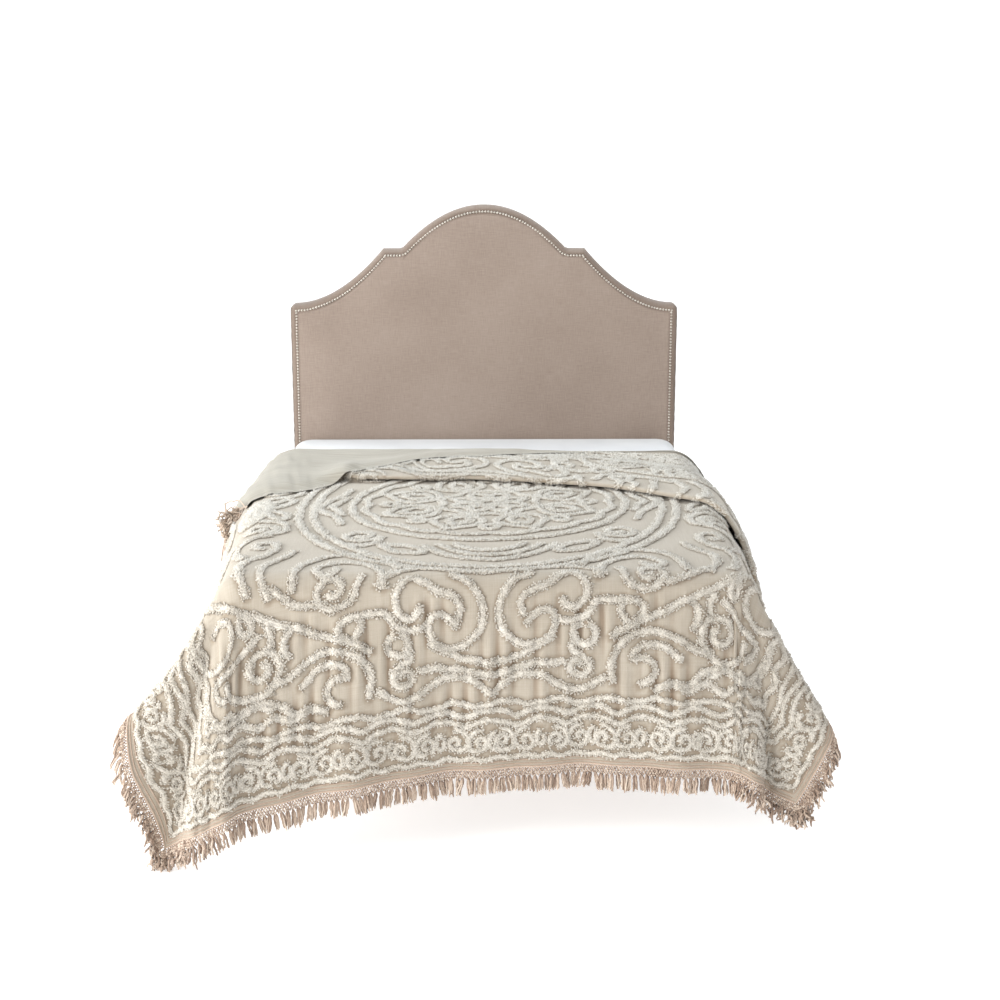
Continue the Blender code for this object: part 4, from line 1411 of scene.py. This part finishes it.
def hem_frame(path, off):
    """Places a net's pitch apart along a hem, with the ways off the cloth and along it."""
    inner = on_cloth(path[:, 0], path[:, 1], np.zeros(len(path)))
    inside = path - np.array(off) * HEM_LOOK
    behind = on_cloth(inside[:, 0], inside[:, 1], np.zeros(len(path)))
    length = np.concatenate([[0], np.cumsum(np.linalg.norm(np.diff(inner, axis=0), axis=1))])
    places = np.arange(NET_PITCH / 2, length[-1], NET_PITCH)

    def along(values):
        return np.stack([np.interp(places, length, values[:, i]) for i in range(3)], -1)

    hem = along(inner)
    out = unit(along(inner - behind))
    ahead = unit(np.gradient(hem, axis=0))
    return hem, unit(out - ahead * (out * ahead).sum(-1, keepdims=True)), ahead


# %% [markdown]
# The net is what a maker ties first: neighbouring yarns are crossed and knotted, row under row,
# each row set off by half a pitch.  So the knots are placed first, and a yarn runs from each one
# to its two neighbours in the next row.

# %% The knotted net
NET_ROWS = (0.0, 0.0075, 0.0150, 0.0225)   # distance of the rows of knots from the hem
NET_SAG = 0.28              # how much more each row sinks than the one before
NET_STRAY = 0.0006
NET_YARN = 0.0020           # yarn radius
DOWN = np.array([0.0, 0.0, -1.0])


def net(hem, out, ahead, crush):
    """The net's meshes and the last row of knots."""
    rows_of_knots = []
    for i, distance in enumerate(NET_ROWS):
        row = hem + unit(out + NET_SAG * i * DOWN) * distance + ahead * (NET_PITCH / 2 * (i % 2))
        rows_of_knots.append(row + random.normal(0, NET_STRAY * (i > 0), row.shape))
    spans = []
    for i, (near, far) in enumerate(zip(rows_of_knots, rows_of_knots[1:])):
        beside = (near[1:], far[:-1]) if i % 2 == 0 else (near[:-1], far[1:])
        for start, end in ((near, far), beside):
            spans.append(np.stack([start, end], axis=1))
    spans = np.concatenate(spans)
    shades = random.uniform(0.15, 0.85, (len(spans), 1)) * np.ones((1, 2))
    yarns = rods(spans, np.full(spans.shape[:2], NET_YARN), shades)
    tied = knots(np.concatenate(rows_of_knots[1:]), np.tile(crush, len(NET_ROWS) - 1))
    return [yarns, tied], rows_of_knots[-1]


# %% [markdown]
# The tassels have five yarns each, which leave the last knot the way the cloth points and sink as
# they go.  At the two foot corners the fringe touches the floor and is crushed: there the yarns
# are shorter, thicker and curl about.

# %% Crushed fringe
CRUSH_REACH = 0.20          # how far from a foot corner the fringe is crushed
CRUSH_CURL = 0.0045
CRUSH_SWELL = 0.22
CRUSH_SHORT = 0.25


def crushed(points):
    """1 at the foot corners of the cloth, where the fringe is crushed, and 0 well away from them."""
    corners = on_cloth(np.array([-0.5, 0.5]) * CLOTH_WIDTH, np.zeros(2), np.zeros(2))
    away = np.linalg.norm(points[:, None] - corners[None], axis=-1).min(1)
    return np.exp(-(away / CRUSH_REACH) ** 2)


# %% Tassels
TASSEL_LENGTH = 0.050
TASSEL_YARN = 0.0028        # yarn radius
YARNS = 5                   # yarns in one tassel
TASSEL_STEPS = 7
TASSEL_LEAN = 0.12          # chance lean of a whole tassel
YARN_LEAN = 0.06            # and of a yarn in it
YARN_DEPTH = 0.0018
YARN_SHAKE = 0.0007
TASSEL_UNEVEN = 0.08        # chance difference in length
TASSEL_FAN = (0.25, 0.70, 0.98)     # width at the knot, just below it and at the tips, in pitches
FALL = 0.48                 # share of plain hanging in a yarn's way at the knot
FALL_GAIN = 0.40            # and what it gains down to the tip
FLOOR_REST = 0.004          # height of yarn that lies on the floor


def yarn_paths(roots, out, ahead, crush):
    """The middle lines of all yarns below a row of knots."""
    count = len(roots)
    share = np.linspace(0, 1, TASSEL_STEPS)
    lean = random.normal(0, TASSEL_LEAN, (count, 1, 3)) * np.array([1.0, 1.0, 0.3])
    stray = random.normal(0, YARN_LEAN, (count, YARNS, 3))
    fan = (np.arange(YARNS) - (YARNS - 1) / 2) / YARNS
    spread = TASSEL_PITCH * np.interp(share, (0, 0.2, 1), TASSEL_FAN)
    length = TASSEL_LENGTH * (1 + TASSEL_UNEVEN * random.normal(0, 1, (count, YARNS)))
    length = length * (1 - CRUSH_SHORT * crush)[:, None]
    depth = random.normal(0, YARN_DEPTH, (count, YARNS, 1))
    face = np.cross(ahead, out)[:, None]
    spine = np.repeat(roots[:, None, :], YARNS, axis=1)
    paths = np.empty((count, YARNS, TASSEL_STEPS, 3))
    for i in range(TASSEL_STEPS):
        weight = FALL + FALL_GAIN * share[i]
        way = unit(out[:, None] * (1 - weight) + DOWN * weight + lean + stray * share[i])
        if i:
            spine = spine + way * (length / (TASSEL_STEPS - 1))[..., None]
        paths[:, :, i] = spine + ahead[:, None] * (fan * spread[i])[None, :, None] + face * depth
    paths += random.normal(0, YARN_SHAKE, paths.shape)
    curls = np.cumsum(random.normal(0, CRUSH_CURL, paths.shape), axis=2) * crush[:, None, None, None]
    paths += curls - curls[:, :, :1]
    paths[..., 2] = np.maximum(paths[..., 2], FLOOR_REST)
    return paths.reshape(count * YARNS, TASSEL_STEPS, 3)


def tassels(roots, out, ahead, crush):
    """The yarns below a row of knots: thin at both ends, and in shade up at the knot."""
    paths = yarn_paths(roots, out, ahead, crush)
    share = np.linspace(0, 1, TASSEL_STEPS)
    thick = TASSEL_YARN * np.interp(share, (0, 0.2, 0.85, 1), (0.7, 1.05, 1.0, 0.6))
    thick = np.repeat(thick[None] * (1 + CRUSH_SWELL * crush)[:, None], YARNS, axis=0)
    shades = random.uniform(0.25, 1.0, (len(paths), 1))
    shades = shades * np.interp(share, (0, 0.25, 1), (0.45, 0.9, 1.0))
    return rods(paths, thick, shades)


# %% One fringed edge
def fringe(name, frames, node):
    """Net and tassels along one edge, in place of the frame's plain strip."""
    hem, out, ahead = frames
    crush = crushed(hem)
    meshes, last_row = net(hem, out, ahead, crush)
    meshes.append(tassels(last_row[::2], out[::2], ahead[::2], crush[::2]))
    points, faces, tone = joined(meshes)
    item = make_piece(name, points, faces, yarn_look, attributes=[("strand", tone)])
    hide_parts(node)
    return item


# %% [markdown]
# The foot and the two sides are fringed.  The side hems pass through the pleat and over the head
# fold, so each of them is knotted in the stretches that lie free.

# %% All fringed edges
CORNER_NODES = 13
CORNER_FAN = 0.3            # at a corner the yarns of a tassel stay closer together


def side_path(side, start, stop):
    """Flat places down one side hem, between two named places of its folds."""
    u = np.full(240, side * CLOTH_WIDTH / 2)
    c = Column(u[:1])
    ends = [float((getattr(c, name) - c.hem)[0]) for name in (start, stop)]
    return np.stack([u, np.linspace(*ends, len(u))], -1)


def corner_frame(side):
    """A fan of directions at a foot corner, from the side's way off to the foot's."""
    corner = np.array([side * CLOTH_WIDTH / 2, 0.0])
    turn = np.linspace(0, pi / 2, CORNER_NODES + 2)[1:-1]
    off = np.stack([side * np.cos(turn), -np.sin(turn)], -1)
    point = on_cloth(np.full(len(off), corner[0]), np.zeros(len(off)), np.zeros(len(off)))
    inner = corner - off * HEM_LOOK
    behind = on_cloth(inner[:, 0], inner[:, 1], np.zeros(len(off)))
    out = unit(point - behind)
    ahead = unit(np.gradient(out, axis=0))
    return point, out, ahead * CORNER_FAN


foot_path = np.stack([np.linspace(-CLOTH_WIDTH / 2, CLOTH_WIDTH / 2, 400), np.zeros(400)], -1)
foot_frames = [corner_frame(-1), hem_frame(foot_path, (0, -1)),
               [values[::-1] for values in corner_frame(1)]]
foot_frames = [np.concatenate(values) for values in zip(*foot_frames)]
fringes = [
    fringe("fringe_along_foot", foot_frames, "fringe_foot"),
    fringe("fringe_left_hem", hem_frame(side_path(-1, "hem", "head"), (-1, 0)), "fringe_left"),
    fringe("fringe_turned_part", hem_frame(side_path(-1, "turned", "end"), (-1, 0)), "fringe_turned"),
    fringe("fringe_right_hem", hem_frame(side_path(1, "hem", "under"), (1, 0)), "fringe_right"),
    fringe("fringe_on_pleat", hem_frame(side_path(1, "upper", "head"), (1, 0)), "fringe_pleat"),
]

# %% [markdown]
# Where the turned part ends at the left, its fringe has caught on itself and hangs as a short
# tangle.  Each of its yarns is a small random loop off the edge.

# %% The tangle
TANGLE_YARNS = 150
TANGLE_STEPS = 9
TANGLE_EDGE = (-1.175, -1.03)                           # stretch of the edge that it hangs from
TANGLE_PLACE = np.array([-0.022, -0.016, -0.006])       # its middle, from the edge's middle
TANGLE_SIZE = np.array([0.020, 0.042, 0.046])
TANGLE_WANDER = 0.0060


def tangle():
    """Caught yarns, each from the edge to a chance place in a small ball below it."""
    u = random.uniform(*TANGLE_EDGE, TANGLE_YARNS)
    c = Column(u)
    root = on_cloth(u, c.end - c.hem - 0.002, np.full(len(u), 0.002))
    middle = root.mean(0) + TANGLE_PLACE
    ball = unit(random.normal(0, 1, root.shape)) * random.uniform(0.4, 1.0, (len(u), 1))
    tip = middle + ball * TANGLE_SIZE
    share = np.linspace(0, 1, TANGLE_STEPS)[None, :, None]
    wander = np.cumsum(random.normal(0, TANGLE_WANDER, (len(u), TANGLE_STEPS, 3)), axis=1)
    paths = root[:, None] * (1 - share) + tip[:, None] * share + wander - wander[:, :1]
    thick = np.full((len(u), TANGLE_STEPS), TASSEL_YARN)
    shades = random.uniform(0.6, 1.3, (len(u), 1)) * np.ones(TANGLE_STEPS)
    points, faces, tone = rods(paths, thick, shades)
    item = make_piece("fringe_tangle", points, faces, yarn_look, attributes=[("strand", tone)])
    return item


fringes.append(tangle())

# %% [markdown]
# Along the hem itself runs a tight roll where the yarn ends are drawn through, and just inside
# it two thin cords woven into the ground.  Both are low ridges, so the ridge that carries the
# pile makes them too.

# %% Hem roll and cords
ROLL_WIDTH = 0.009
ROLL_HEIGHT = 0.0030
ROLL_INSET = 0.003
CORD_WIDTH = 0.005
CORD_HEIGHT = 0.0020
CORD_INSETS = (0.013, 0.024)
half_width = CLOTH_WIDTH / 2
left_end = side_path(-1, "hem", "end")[-1, 1]
right_end = side_path(1, "hem", "under")[-1, 1]


def hem_rows(inset, width, height, rough):
    """Ridges along the foot and both sides, at a distance in from the hem."""
    reach = half_width - inset
    lines = [np.array([(-reach, inset), (reach, inset)]),
             np.array([(-reach, inset), (-reach, left_end)]),
             np.array([(reach, inset), (reach, right_end)])]
    return [ridge(line, width, height, rough) for line in lines]


# The ridge's pile values paint shade on the flanks of the roll and the cords, darker than their crowns
points, faces, _, pile = joined(hem_rows(ROLL_INSET, ROLL_WIDTH, ROLL_HEIGHT, 0.7))
hem_roll = make_piece("hem_roll", points, faces, yarn_look, attributes=[("strand", 0.25 + pile)])
cords = [row for inset in CORD_INSETS for row in hem_rows(inset, CORD_WIDTH, CORD_HEIGHT, 0.25)]
points, faces, _, pile = joined(cords)
hem_cords = make_piece("hem_cords", points, faces, yarn_look,
                       attributes=[("strand", 0.3 + 0.6 * pile)])

# %% [markdown]

# %% [markdown]
# ## The mattress and its base
#
# Both are upholstered blocks: a rounded rectangle carried up a profile.  The profile says how far
# the side stands in from the block's outline at each height, so a mattress gets plump rolled
# edges and a base gets a piped seam.  A fitted sheet is gathered at the corners, which shows as
# small creases that run down the corner and fade out along the sides.

# %% A block's outline
CORNER_POINTS = 14          # round each corner of a block
CREASE_REACH = 0.09         # how far the corner creases run along the sides


def block_outline(width, length, corner):
    """Even points round a rounded rectangle, with their outward ways and how near a corner is."""
    x, y = width / 2 - corner, length / 2 - corner
    quarter = np.linspace(0, pi / 2, CORNER_POINTS)
    ring_points, ways, near = [], [], []
    corners = ((x, y, 0), (-x, y, pi / 2), (-x, -y, pi), (x, -y, 3 * pi / 2))
    for (cx, cy, start), (nx, ny, _) in zip(corners, corners[1:] + corners[:1]):
        angle = start + quarter
        way = np.stack([np.cos(angle), np.sin(angle)], -1)
        ring_points.append(np.array([cx, cy]) + corner * way)
        ways.append(way)
        near.append(np.ones(CORNER_POINTS))
        last, following = ring_points[-1][-1], np.array([nx, ny]) + corner * way[-1]
        share = np.linspace(0, 1, 4 * CORNER_POINTS)[1:-1, None]
        ring_points.append(last + (following - last) * share)
        ways.append(np.repeat(way[-1:], len(share), 0))
        gap = np.linalg.norm(following - last) * np.minimum(share[:, 0], 1 - share[:, 0])
        near.append(np.exp(-gap / CREASE_REACH))
    return np.concatenate(ring_points), np.concatenate(ways), np.concatenate(near)


# %% An upholstered block
TOP_RINGS = (0.04, 0.12, 0.3, 0.55, 0.8)    # rings of the flat top, as shares of the way inwards


def closed_quads(rings, count):
    """Faces of rings of points that close on themselves, with a cap at each end."""
    here = np.arange(rings - 1)[:, None] * count + np.arange(count)[None, :]
    beside = np.arange(rings - 1)[:, None] * count + (np.arange(count)[None, :] + 1) % count
    sides = np.stack([here, beside, beside + count, here + count], -1).reshape(-1, 4).tolist()
    bottom = list(range(count))[::-1]
    top = [(rings - 1) * count + i for i in range(count)]
    return sides + [bottom, top]


def block(name, node, profile, corner, crease, look):
    """A soft block in a node's place; profile rows are (height share, inset)."""
    low, high = (np.array(tuple(c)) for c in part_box(node))
    size, middle = high - low, (low + high) / 2
    outline, ways, near = block_outline(size[0], size[1], corner)
    count = len(outline)
    turn = np.arange(count)
    ripple = 0.5 - 0.5 * np.cos(turn * 2.1 + 1.3 * np.sin(turn * 0.37))
    rings = []
    for share, inset in profile:
        fold_depth = crease * near * ripple * (1 - abs(2 * share - 1) ** 3)
        place = outline - ways * (inset + fold_depth)[:, None]
        rings.append(np.column_stack([place, np.full(count, low[2] + size[2] * share)]))
    top_inset = profile[-1][1]
    for share in TOP_RINGS:
        place = (outline - ways * top_inset) * (1 - share)
        rings.append(np.column_stack([place, np.full(count, high[2])]))
    points = np.array(rings) + np.array([middle[0], middle[1], 0.0])
    item = make_piece(name, points.reshape(-1, 3), closed_quads(len(rings), count), look)
    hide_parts(node)
    return item


# %% [markdown]
# The mattress is a padded core in a fitted sheet, so it gets wide rolled edges and corner creases.
# The base is a box pulled tight in linen, with small edges and no creases.  Heights in the
# profiles are shares of the block's height; insets are metres.

# %% Mattress and base
BLOCK_CORNER = 0.08
MATTRESS_ROLL = 0.05
SHEET_HOLLOW = 0.004
SHEET_CREASE = 0.007
BASE_ROLL = 0.012


def rolled_edges(height, radius, hollow, steps):
    """A profile with rounded top and bottom edges and a slightly hollow side between them."""
    bottom = []
    for i in range(steps + 1):
        angle = pi / 2 * i / steps
        bottom.append((radius * (1 - np.cos(angle)) / height, radius * (1 - np.sin(angle))))
    side = [(share, hollow * np.sin(pi * share)) for share in np.linspace(0.22, 0.78, 9)]
    top = [(1 - share, inset) for share, inset in bottom[::-1]]
    return bottom + side + top


mattress_height = mattress_high[2] - mattress_low[2]
mattress_profile = rolled_edges(mattress_height, MATTRESS_ROLL, SHEET_HOLLOW, 7)
mattress_cover = block("fitted_sheet", "mattress", mattress_profile, BLOCK_CORNER,
                       SHEET_CREASE, cotton_look)

base_low, base_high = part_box("box_base")
base_profile = rolled_edges(base_high[2] - base_low[2], BASE_ROLL, 0.0, 5)
block("covered_base", "box_base", base_profile, BLOCK_CORNER, 0.0, linen_look)

# %% [markdown]
# ## The headboard
#
# The board is padded and covered: flat in the middle, rolled over at the rim, with a row of nail
# heads pressed in just inside the roll.  Half its outline is a flat-topped arch, a small step, a
# hollow curve and a shoulder.  The front is a grid of upright lines from the bottom to that
# outline, and its depth is worked out from each point's distance to the rim.  A bevelled slab
# would be quicker, but it would have no swell and no groove for the nails.

# %% The headboard's outline
BOARD_HALF = 0.770
SHOULDER_RISE = 0.535
NOTCH_RISE = 0.752
CREST_RISE = 0.924
ARCH_X = 0.322
NOTCH_X = 0.400
SCOOP_X = 0.750
NOTCH_DROP = 0.004
NOTCH_RAMP = 0.012
SCOOP_POWER = 1.9
SHOULDER_ROUND = 0.022
board_low, board_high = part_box("headboard")
BOARD_MIDDLE = (board_low[0] + board_high[0]) / 2


def board_top(x):
    """Height of the board's top edge at a distance from its middle."""
    x = np.abs(x)
    arch = CREST_RISE - (CREST_RISE - NOTCH_RISE - NOTCH_DROP) * (x / ARCH_X) ** 2
    ramp = NOTCH_RISE + NOTCH_DROP * (1 - (x - ARCH_X) / NOTCH_RAMP)
    hollow = np.clip(1 - (x - NOTCH_X) / (SCOOP_X - NOTCH_X), 0, 1) ** SCOOP_POWER
    scoop = SHOULDER_RISE + (NOTCH_RISE - SHOULDER_RISE) * hollow
    past = np.clip(x - (BOARD_HALF - SHOULDER_ROUND), 0, SHOULDER_ROUND)
    round_off = SHOULDER_ROUND - np.sqrt(np.maximum(SHOULDER_ROUND ** 2 - past ** 2, 0))
    rise = np.where(x < ARCH_X, arch, np.where(x < ARCH_X + NOTCH_RAMP, ramp,
                                               np.where(x < NOTCH_X, NOTCH_RISE, scoop)))
    return MATTRESS_TOP + rise - round_off


def board_rim():
    """Points round the rim, from low on the left up and over to low on the right."""
    x = np.linspace(-BOARD_HALF, BOARD_HALF, 700)
    top = np.stack([x, board_top(x)], -1)
    side = np.linspace(board_low[2], top[0, 1], 120)[:-1]
    left = np.stack([np.full(len(side), -BOARD_HALF), side], -1)
    return np.concatenate([left, top, left[::-1] * (-1, 1)])


print(f"the board is {2 * BOARD_HALF:.2f} m wide and {MATTRESS_TOP + CREST_RISE:.3f} m high")

# %% [markdown]
# `PAD_ROLL` is the radius of the rolled rim, and `PAD_CROWN` how much the padding swells between
# the nails and the middle.  Where the nails pull the linen in, the padding dips a little.

# %% The padding
PAD_ROLL = 0.022
PAD_CROWN = 0.006
PAD_SWELL = 0.14
PAD_DEEPEST = 0.030
NAIL_INSET = 0.024
NAIL_DIP = 0.0025
NAIL_DIP_WIDTH = 0.006


def from_rim(points):
    """How far each point of the board's face lies in from its rim."""
    rim = board_rim()
    away = np.empty(len(points))
    for start in range(0, len(points), 2000):
        part = points[start:start + 2000]
        away[start:start + 2000] = np.sqrt(((part[:, None] - rim[None]) ** 2).sum(-1).min(1))
    return away


def pad_depth(points):
    """How far the covering lies behind the board's front plane."""
    away = from_rim(points)
    near = np.clip(1 - away / PAD_ROLL, 0, 1)
    roll = PAD_ROLL * (1 - np.sqrt(1 - near ** 2))
    swell = PAD_CROWN * (1 - ease((away - NAIL_INSET) / PAD_SWELL))
    dip = NAIL_DIP * np.exp(-((away - NAIL_INSET) / NAIL_DIP_WIDTH) ** 2)
    return roll + swell + dip


# %% The board's face
BOARD_ROWS = 61
BACK_INSET = 0.001
NAIL_SHADE_WIDTH = 0.0055         # the painted shade along the nails
ROLL_SHADE = 0.5            # painted shade on the roll outside the nails, and on the back


def board_grid():
    """Places on the face, as a grid: close to the outline's corners the lines are closer."""
    breaks = [0, ARCH_X, ARCH_X + NOTCH_RAMP, NOTCH_X, SCOOP_X, BOARD_HALF - 0.004, BOARD_HALF]
    cells = [34, 3, 6, 40, 6, 4]
    half = np.concatenate([np.linspace(a, b, n, endpoint=False)
                           for a, b, n in zip(breaks, breaks[1:], cells)] + [[BOARD_HALF]])
    x = np.concatenate([-half[:0:-1], half])
    even = np.linspace(0, 1, BOARD_ROWS)
    share = ease(even) * 0.5 + even * 0.5
    z = board_low[2] + (board_top(x)[None, :] - board_low[2]) * share[:, None]
    return np.stack([x[None, :] + 0 * z, z], -1)


def grid_rim(rows, columns):
    """Numbers of the points round a grid's edge, in order."""
    rim = list(range(columns))
    rim += [r * columns + columns - 1 for r in range(1, rows)]
    rim += [(rows - 1) * columns + c for c in range(columns - 2, -1, -1)]
    rim += [r * columns for r in range(rows - 2, 0, -1)]
    return np.array(rim)


# %% The board's cover
def build_board():
    """The padded front, a flat back and the sides between them, as one closed cover."""
    grid = board_grid()
    rows_made, columns_made = grid.shape[:2]
    flat = grid.reshape(-1, 2)
    depth = np.minimum(pad_depth(flat), PAD_DEEPEST)
    back_y = np.full(len(flat), board_high[1] - BACK_INSET)
    front = np.column_stack([flat[:, 0] + BOARD_MIDDLE, board_low[1] + depth, flat[:, 1]])
    back = np.column_stack([flat[:, 0] + BOARD_MIDDLE, back_y, flat[:, 1]])
    front_faces = quads(rows_made, columns_made)
    back_faces = front_faces[:, ::-1] + len(front)
    rim = grid_rim(rows_made, columns_made)
    following = np.roll(rim, -1)
    sides = np.stack([following, rim, rim + len(front), following + len(front)], -1)
    away = from_rim(flat)
    # Painted shade: dark along the row of nails, half as dark on the roll outside them and on the back
    painted_board_shade = np.exp(-((away - NAIL_INSET) / NAIL_SHADE_WIDTH) ** 2)
    painted_board_shade = np.maximum(painted_board_shade, ROLL_SHADE * (away < NAIL_INSET - 0.004))
    painted_board_shade = np.concatenate([painted_board_shade, np.full(len(back), ROLL_SHADE)])
    item = make_piece("headboard_cover", np.concatenate([front, back]),
                      np.concatenate([front_faces, back_faces, sides]), linen_look,
                      attributes=[("painted_board_shade", painted_board_shade)])
    item.data.set_sharp_from_angle(angle=1.0)
    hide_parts("headboard")


build_board()

# %% [markdown]
# Nail heads: shallow domes a hair apart, following the rim at an even distance.  The line is the
# rim moved inwards; where it would cross itself in a hollow corner, the points that came too near
# the rim are dropped.  One dome is worked out and repeated at every place.

# %% One nail head
NAIL_PITCH = 0.0118
NAIL_RADIUS = 0.0048
NAIL_HEIGHT = 0.0030
NAIL_SIDES = 8
NAIL_SUNK = 0.0002
NAILS_BELOW = 0.08          # the row ends this far below the mattress's top


def nail_dome():
    """Points and faces of one dome, its top towards the foot of the bed."""
    angle = 2 * pi * np.arange(NAIL_SIDES) / NAIL_SIDES
    rings = [(1.0, 0.0), (0.86, 0.5), (0.5, 0.88)]
    points = [(NAIL_RADIUS * size * np.cos(a), -NAIL_HEIGHT * rise, NAIL_RADIUS * size * np.sin(a))
              for size, rise in rings for a in angle] + [(0.0, -NAIL_HEIGHT, 0.0)]
    side = np.arange(NAIL_SIDES)
    following = (side + 1) % NAIL_SIDES
    faces = []
    for first in (0, NAIL_SIDES):
        faces.append(np.stack([side, following, following + NAIL_SIDES], -1) + first)
        faces.append(np.stack([side, following + NAIL_SIDES, side + NAIL_SIDES], -1) + first)
    top = np.full(NAIL_SIDES, 3 * NAIL_SIDES)
    faces.append(np.stack([side + 2 * NAIL_SIDES, following + 2 * NAIL_SIDES, top], -1))
    return np.array(points), np.concatenate(faces)


# %% The row of nails
def build_nails():
    """A row of nail heads at an even distance inside the rim."""
    rim = board_rim()
    ahead = unit(np.gradient(rim, axis=0))
    inner = rim + np.stack([ahead[:, 1], -ahead[:, 0]], -1) * NAIL_INSET
    away = np.sqrt(((inner[:, None] - rim[None, ::3]) ** 2).sum(-1).min(1))
    inner = inner[(away > NAIL_INSET * 0.93) & (inner[:, 1] > MATTRESS_TOP - NAILS_BELOW)]
    places = resample(inner, NAIL_PITCH)
    depth = board_low[1] + pad_depth(places) - NAIL_SUNK
    centres = np.column_stack([places[:, 0] + BOARD_MIDDLE, depth, places[:, 1]])
    dome, dome_faces = nail_dome()
    points = (centres[:, None] + dome[None]).reshape(-1, 3)
    faces = (dome_faces[None] + len(dome) * np.arange(len(centres))[:, None, None]).reshape(-1, 3)
    item = make_piece("nail_heads", points, faces, nickel_look)
    print(f"{len(centres)} nails")


build_nails()

# %% [markdown]
# The legs and the headboard's posts are plain square timber, and the frame has them in full.  They
# keep that shape and only get their wood.

# %% Legs and posts
for name in ("leg_foot_left", "leg_foot_right", "leg_head_left", "leg_head_right",
             "headboard_post_left", "headboard_post_right"):
    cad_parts[name].data.materials[0] = wood_look

# %% [markdown]
# ## Floor, light and camera
#
# A pale sweep runs under the bed and up behind it; it is lit from below a little, like a light
# table, so that the shadow under the bed stays soft.  A wide soft light from above and the left
# does most of the work, as in a daylight studio, with a weaker one from the right to open the
# shadows.  The camera stands at the foot of the bed, above eye height, and looks down a little.
# A paper roll would end in an edge behind the bed; this sweep is round, so that it looks the same
# from every side.

# %% Floor
FLOOR_REACH = 13.0          # the floor's flat part, from the middle
WALL_BEND = 3.0
WALL_HEIGHT = 7.6
FLOOR_GLOW = 0.54


def build_sweep():
    """A wide floor that curves up into a low wall all round."""
    bend = np.linspace(0, pi / 2, 12)[1:]
    profile = [(reach, 0.0) for reach in (3.0, 7.0, FLOOR_REACH)]
    profile += [(FLOOR_REACH + WALL_BEND * np.sin(a), WALL_BEND * (1 - np.cos(a))) for a in bend]
    profile += [(FLOOR_REACH + WALL_BEND, WALL_HEIGHT)]
    turn = np.linspace(0, 2 * pi, 65)
    grid = np.array([[(r * np.cos(a), r * np.sin(a), z) for a in turn] for r, z in profile])
    points = grid.reshape(-1, 3).tolist() + [[0.0, 0.0, 0.0]]
    faces = quads(*grid.shape[:2])[:, ::-1].tolist()
    faces += [[i, i + 1, len(points) - 1] for i in range(len(turn) - 1)]
    mesh = bpy.data.meshes.new("sweep")
    mesh.from_pydata(points, [], faces)
    look = Look("pale_paper", 0.9)
    paper = look.noise((3.0, 3.0, 3.0), 2.0)
    look.colour(look.ramp(paper, (0.3, (0.86, 0.86, 0.86)), (0.7, (0.88, 0.88, 0.88))))
    look.shader.inputs["Emission Color"].default_value = (1.0, 1.0, 1.0, 1.0)
    look.shader.inputs["Emission Strength"].default_value = FLOOR_GLOW
    mesh.materials.append(look.material)
    mesh.shade_smooth()
    item = bpy.data.objects.new("sweep", mesh)
    bpy.context.scene.collection.objects.link(item)
    print(f"floor {2 * FLOOR_REACH:.0f} m across, wall {WALL_HEIGHT} m high")


build_sweep()


# %% Lights
def area_light(name, place, aim, size, power, colour):
    """A square soft light at a place, turned to face its aim."""
    lamp = bpy.data.lights.new(name, "AREA")
    lamp.shape = "SQUARE"
    lamp.size = size
    lamp.energy = power
    lamp.color = colour
    item = bpy.data.objects.new(name, lamp)
    item.location = place
    way = np.array(place) - np.array(aim)
    flat_way = np.hypot(way[0], way[1])
    item.rotation_euler = (np.arctan2(flat_way, way[2]), 0.0, np.arctan2(way[0], -way[1]))
    bpy.context.scene.collection.objects.link(item)


SKY_STRENGTH = 0.39
# Soft lights: name, place, aim, width, power in watts, colour
LIGHTS = (
    ("key", (-4.3, -3.5, 3.0), (0.0, -0.6, 0.5), 2.0, 198, (1.0, 0.975, 0.94)),
    ("window", (-4.6, -1.4, 1.7), (-0.9, -0.9, 0.4), 2.4, 152, (0.95, 0.99, 1.0)),
    ("above", (-0.2, 1.4, 4.4), (0.0, -0.3, 0.6), 1.8, 124, (0.84, 0.935, 1.0)),
    ("fill", (3.4, -3.4, 2.2), (0.0, -0.4, 0.6), 2.5, 25, (1.0, 0.975, 0.95)),
)
for light in LIGHTS:
    area_light(*light)
print(f"{len(LIGHTS)} soft lights")

world = bpy.data.worlds.new("studio")
bpy.context.scene.world = world
world.use_nodes = True
sky = world.node_tree.nodes["Background"]
sky.inputs["Color"].default_value = (1.0, 1.0, 1.0, 1.0)
sky.inputs["Strength"].default_value = SKY_STRENGTH
bpy.context.scene.view_settings.view_transform = "Standard"

# %% Camera
FOCAL_LENGTH = 61.56        # millimetres on a 36 mm frame
CAMERA_PLACE = (-0.02, -4.75, 2.198)    # from the middle of the mattress's foot
CAMERA_TILT = 76.4
CAMERA_TURN = -0.70
camera_data = bpy.data.cameras.new("camera")
camera_data.lens = FOCAL_LENGTH
camera_data.sensor_width = 36.0
camera = bpy.data.objects.new("camera", camera_data)
camera.location = BED_PLACE + np.array(CAMERA_PLACE)
camera.rotation_euler = (radians(CAMERA_TILT), 0.0, radians(CAMERA_TURN))
bpy.context.scene.collection.objects.link(camera)
bpy.context.scene.camera = camera
print("camera at", [round(value, 3) for value in camera.location])
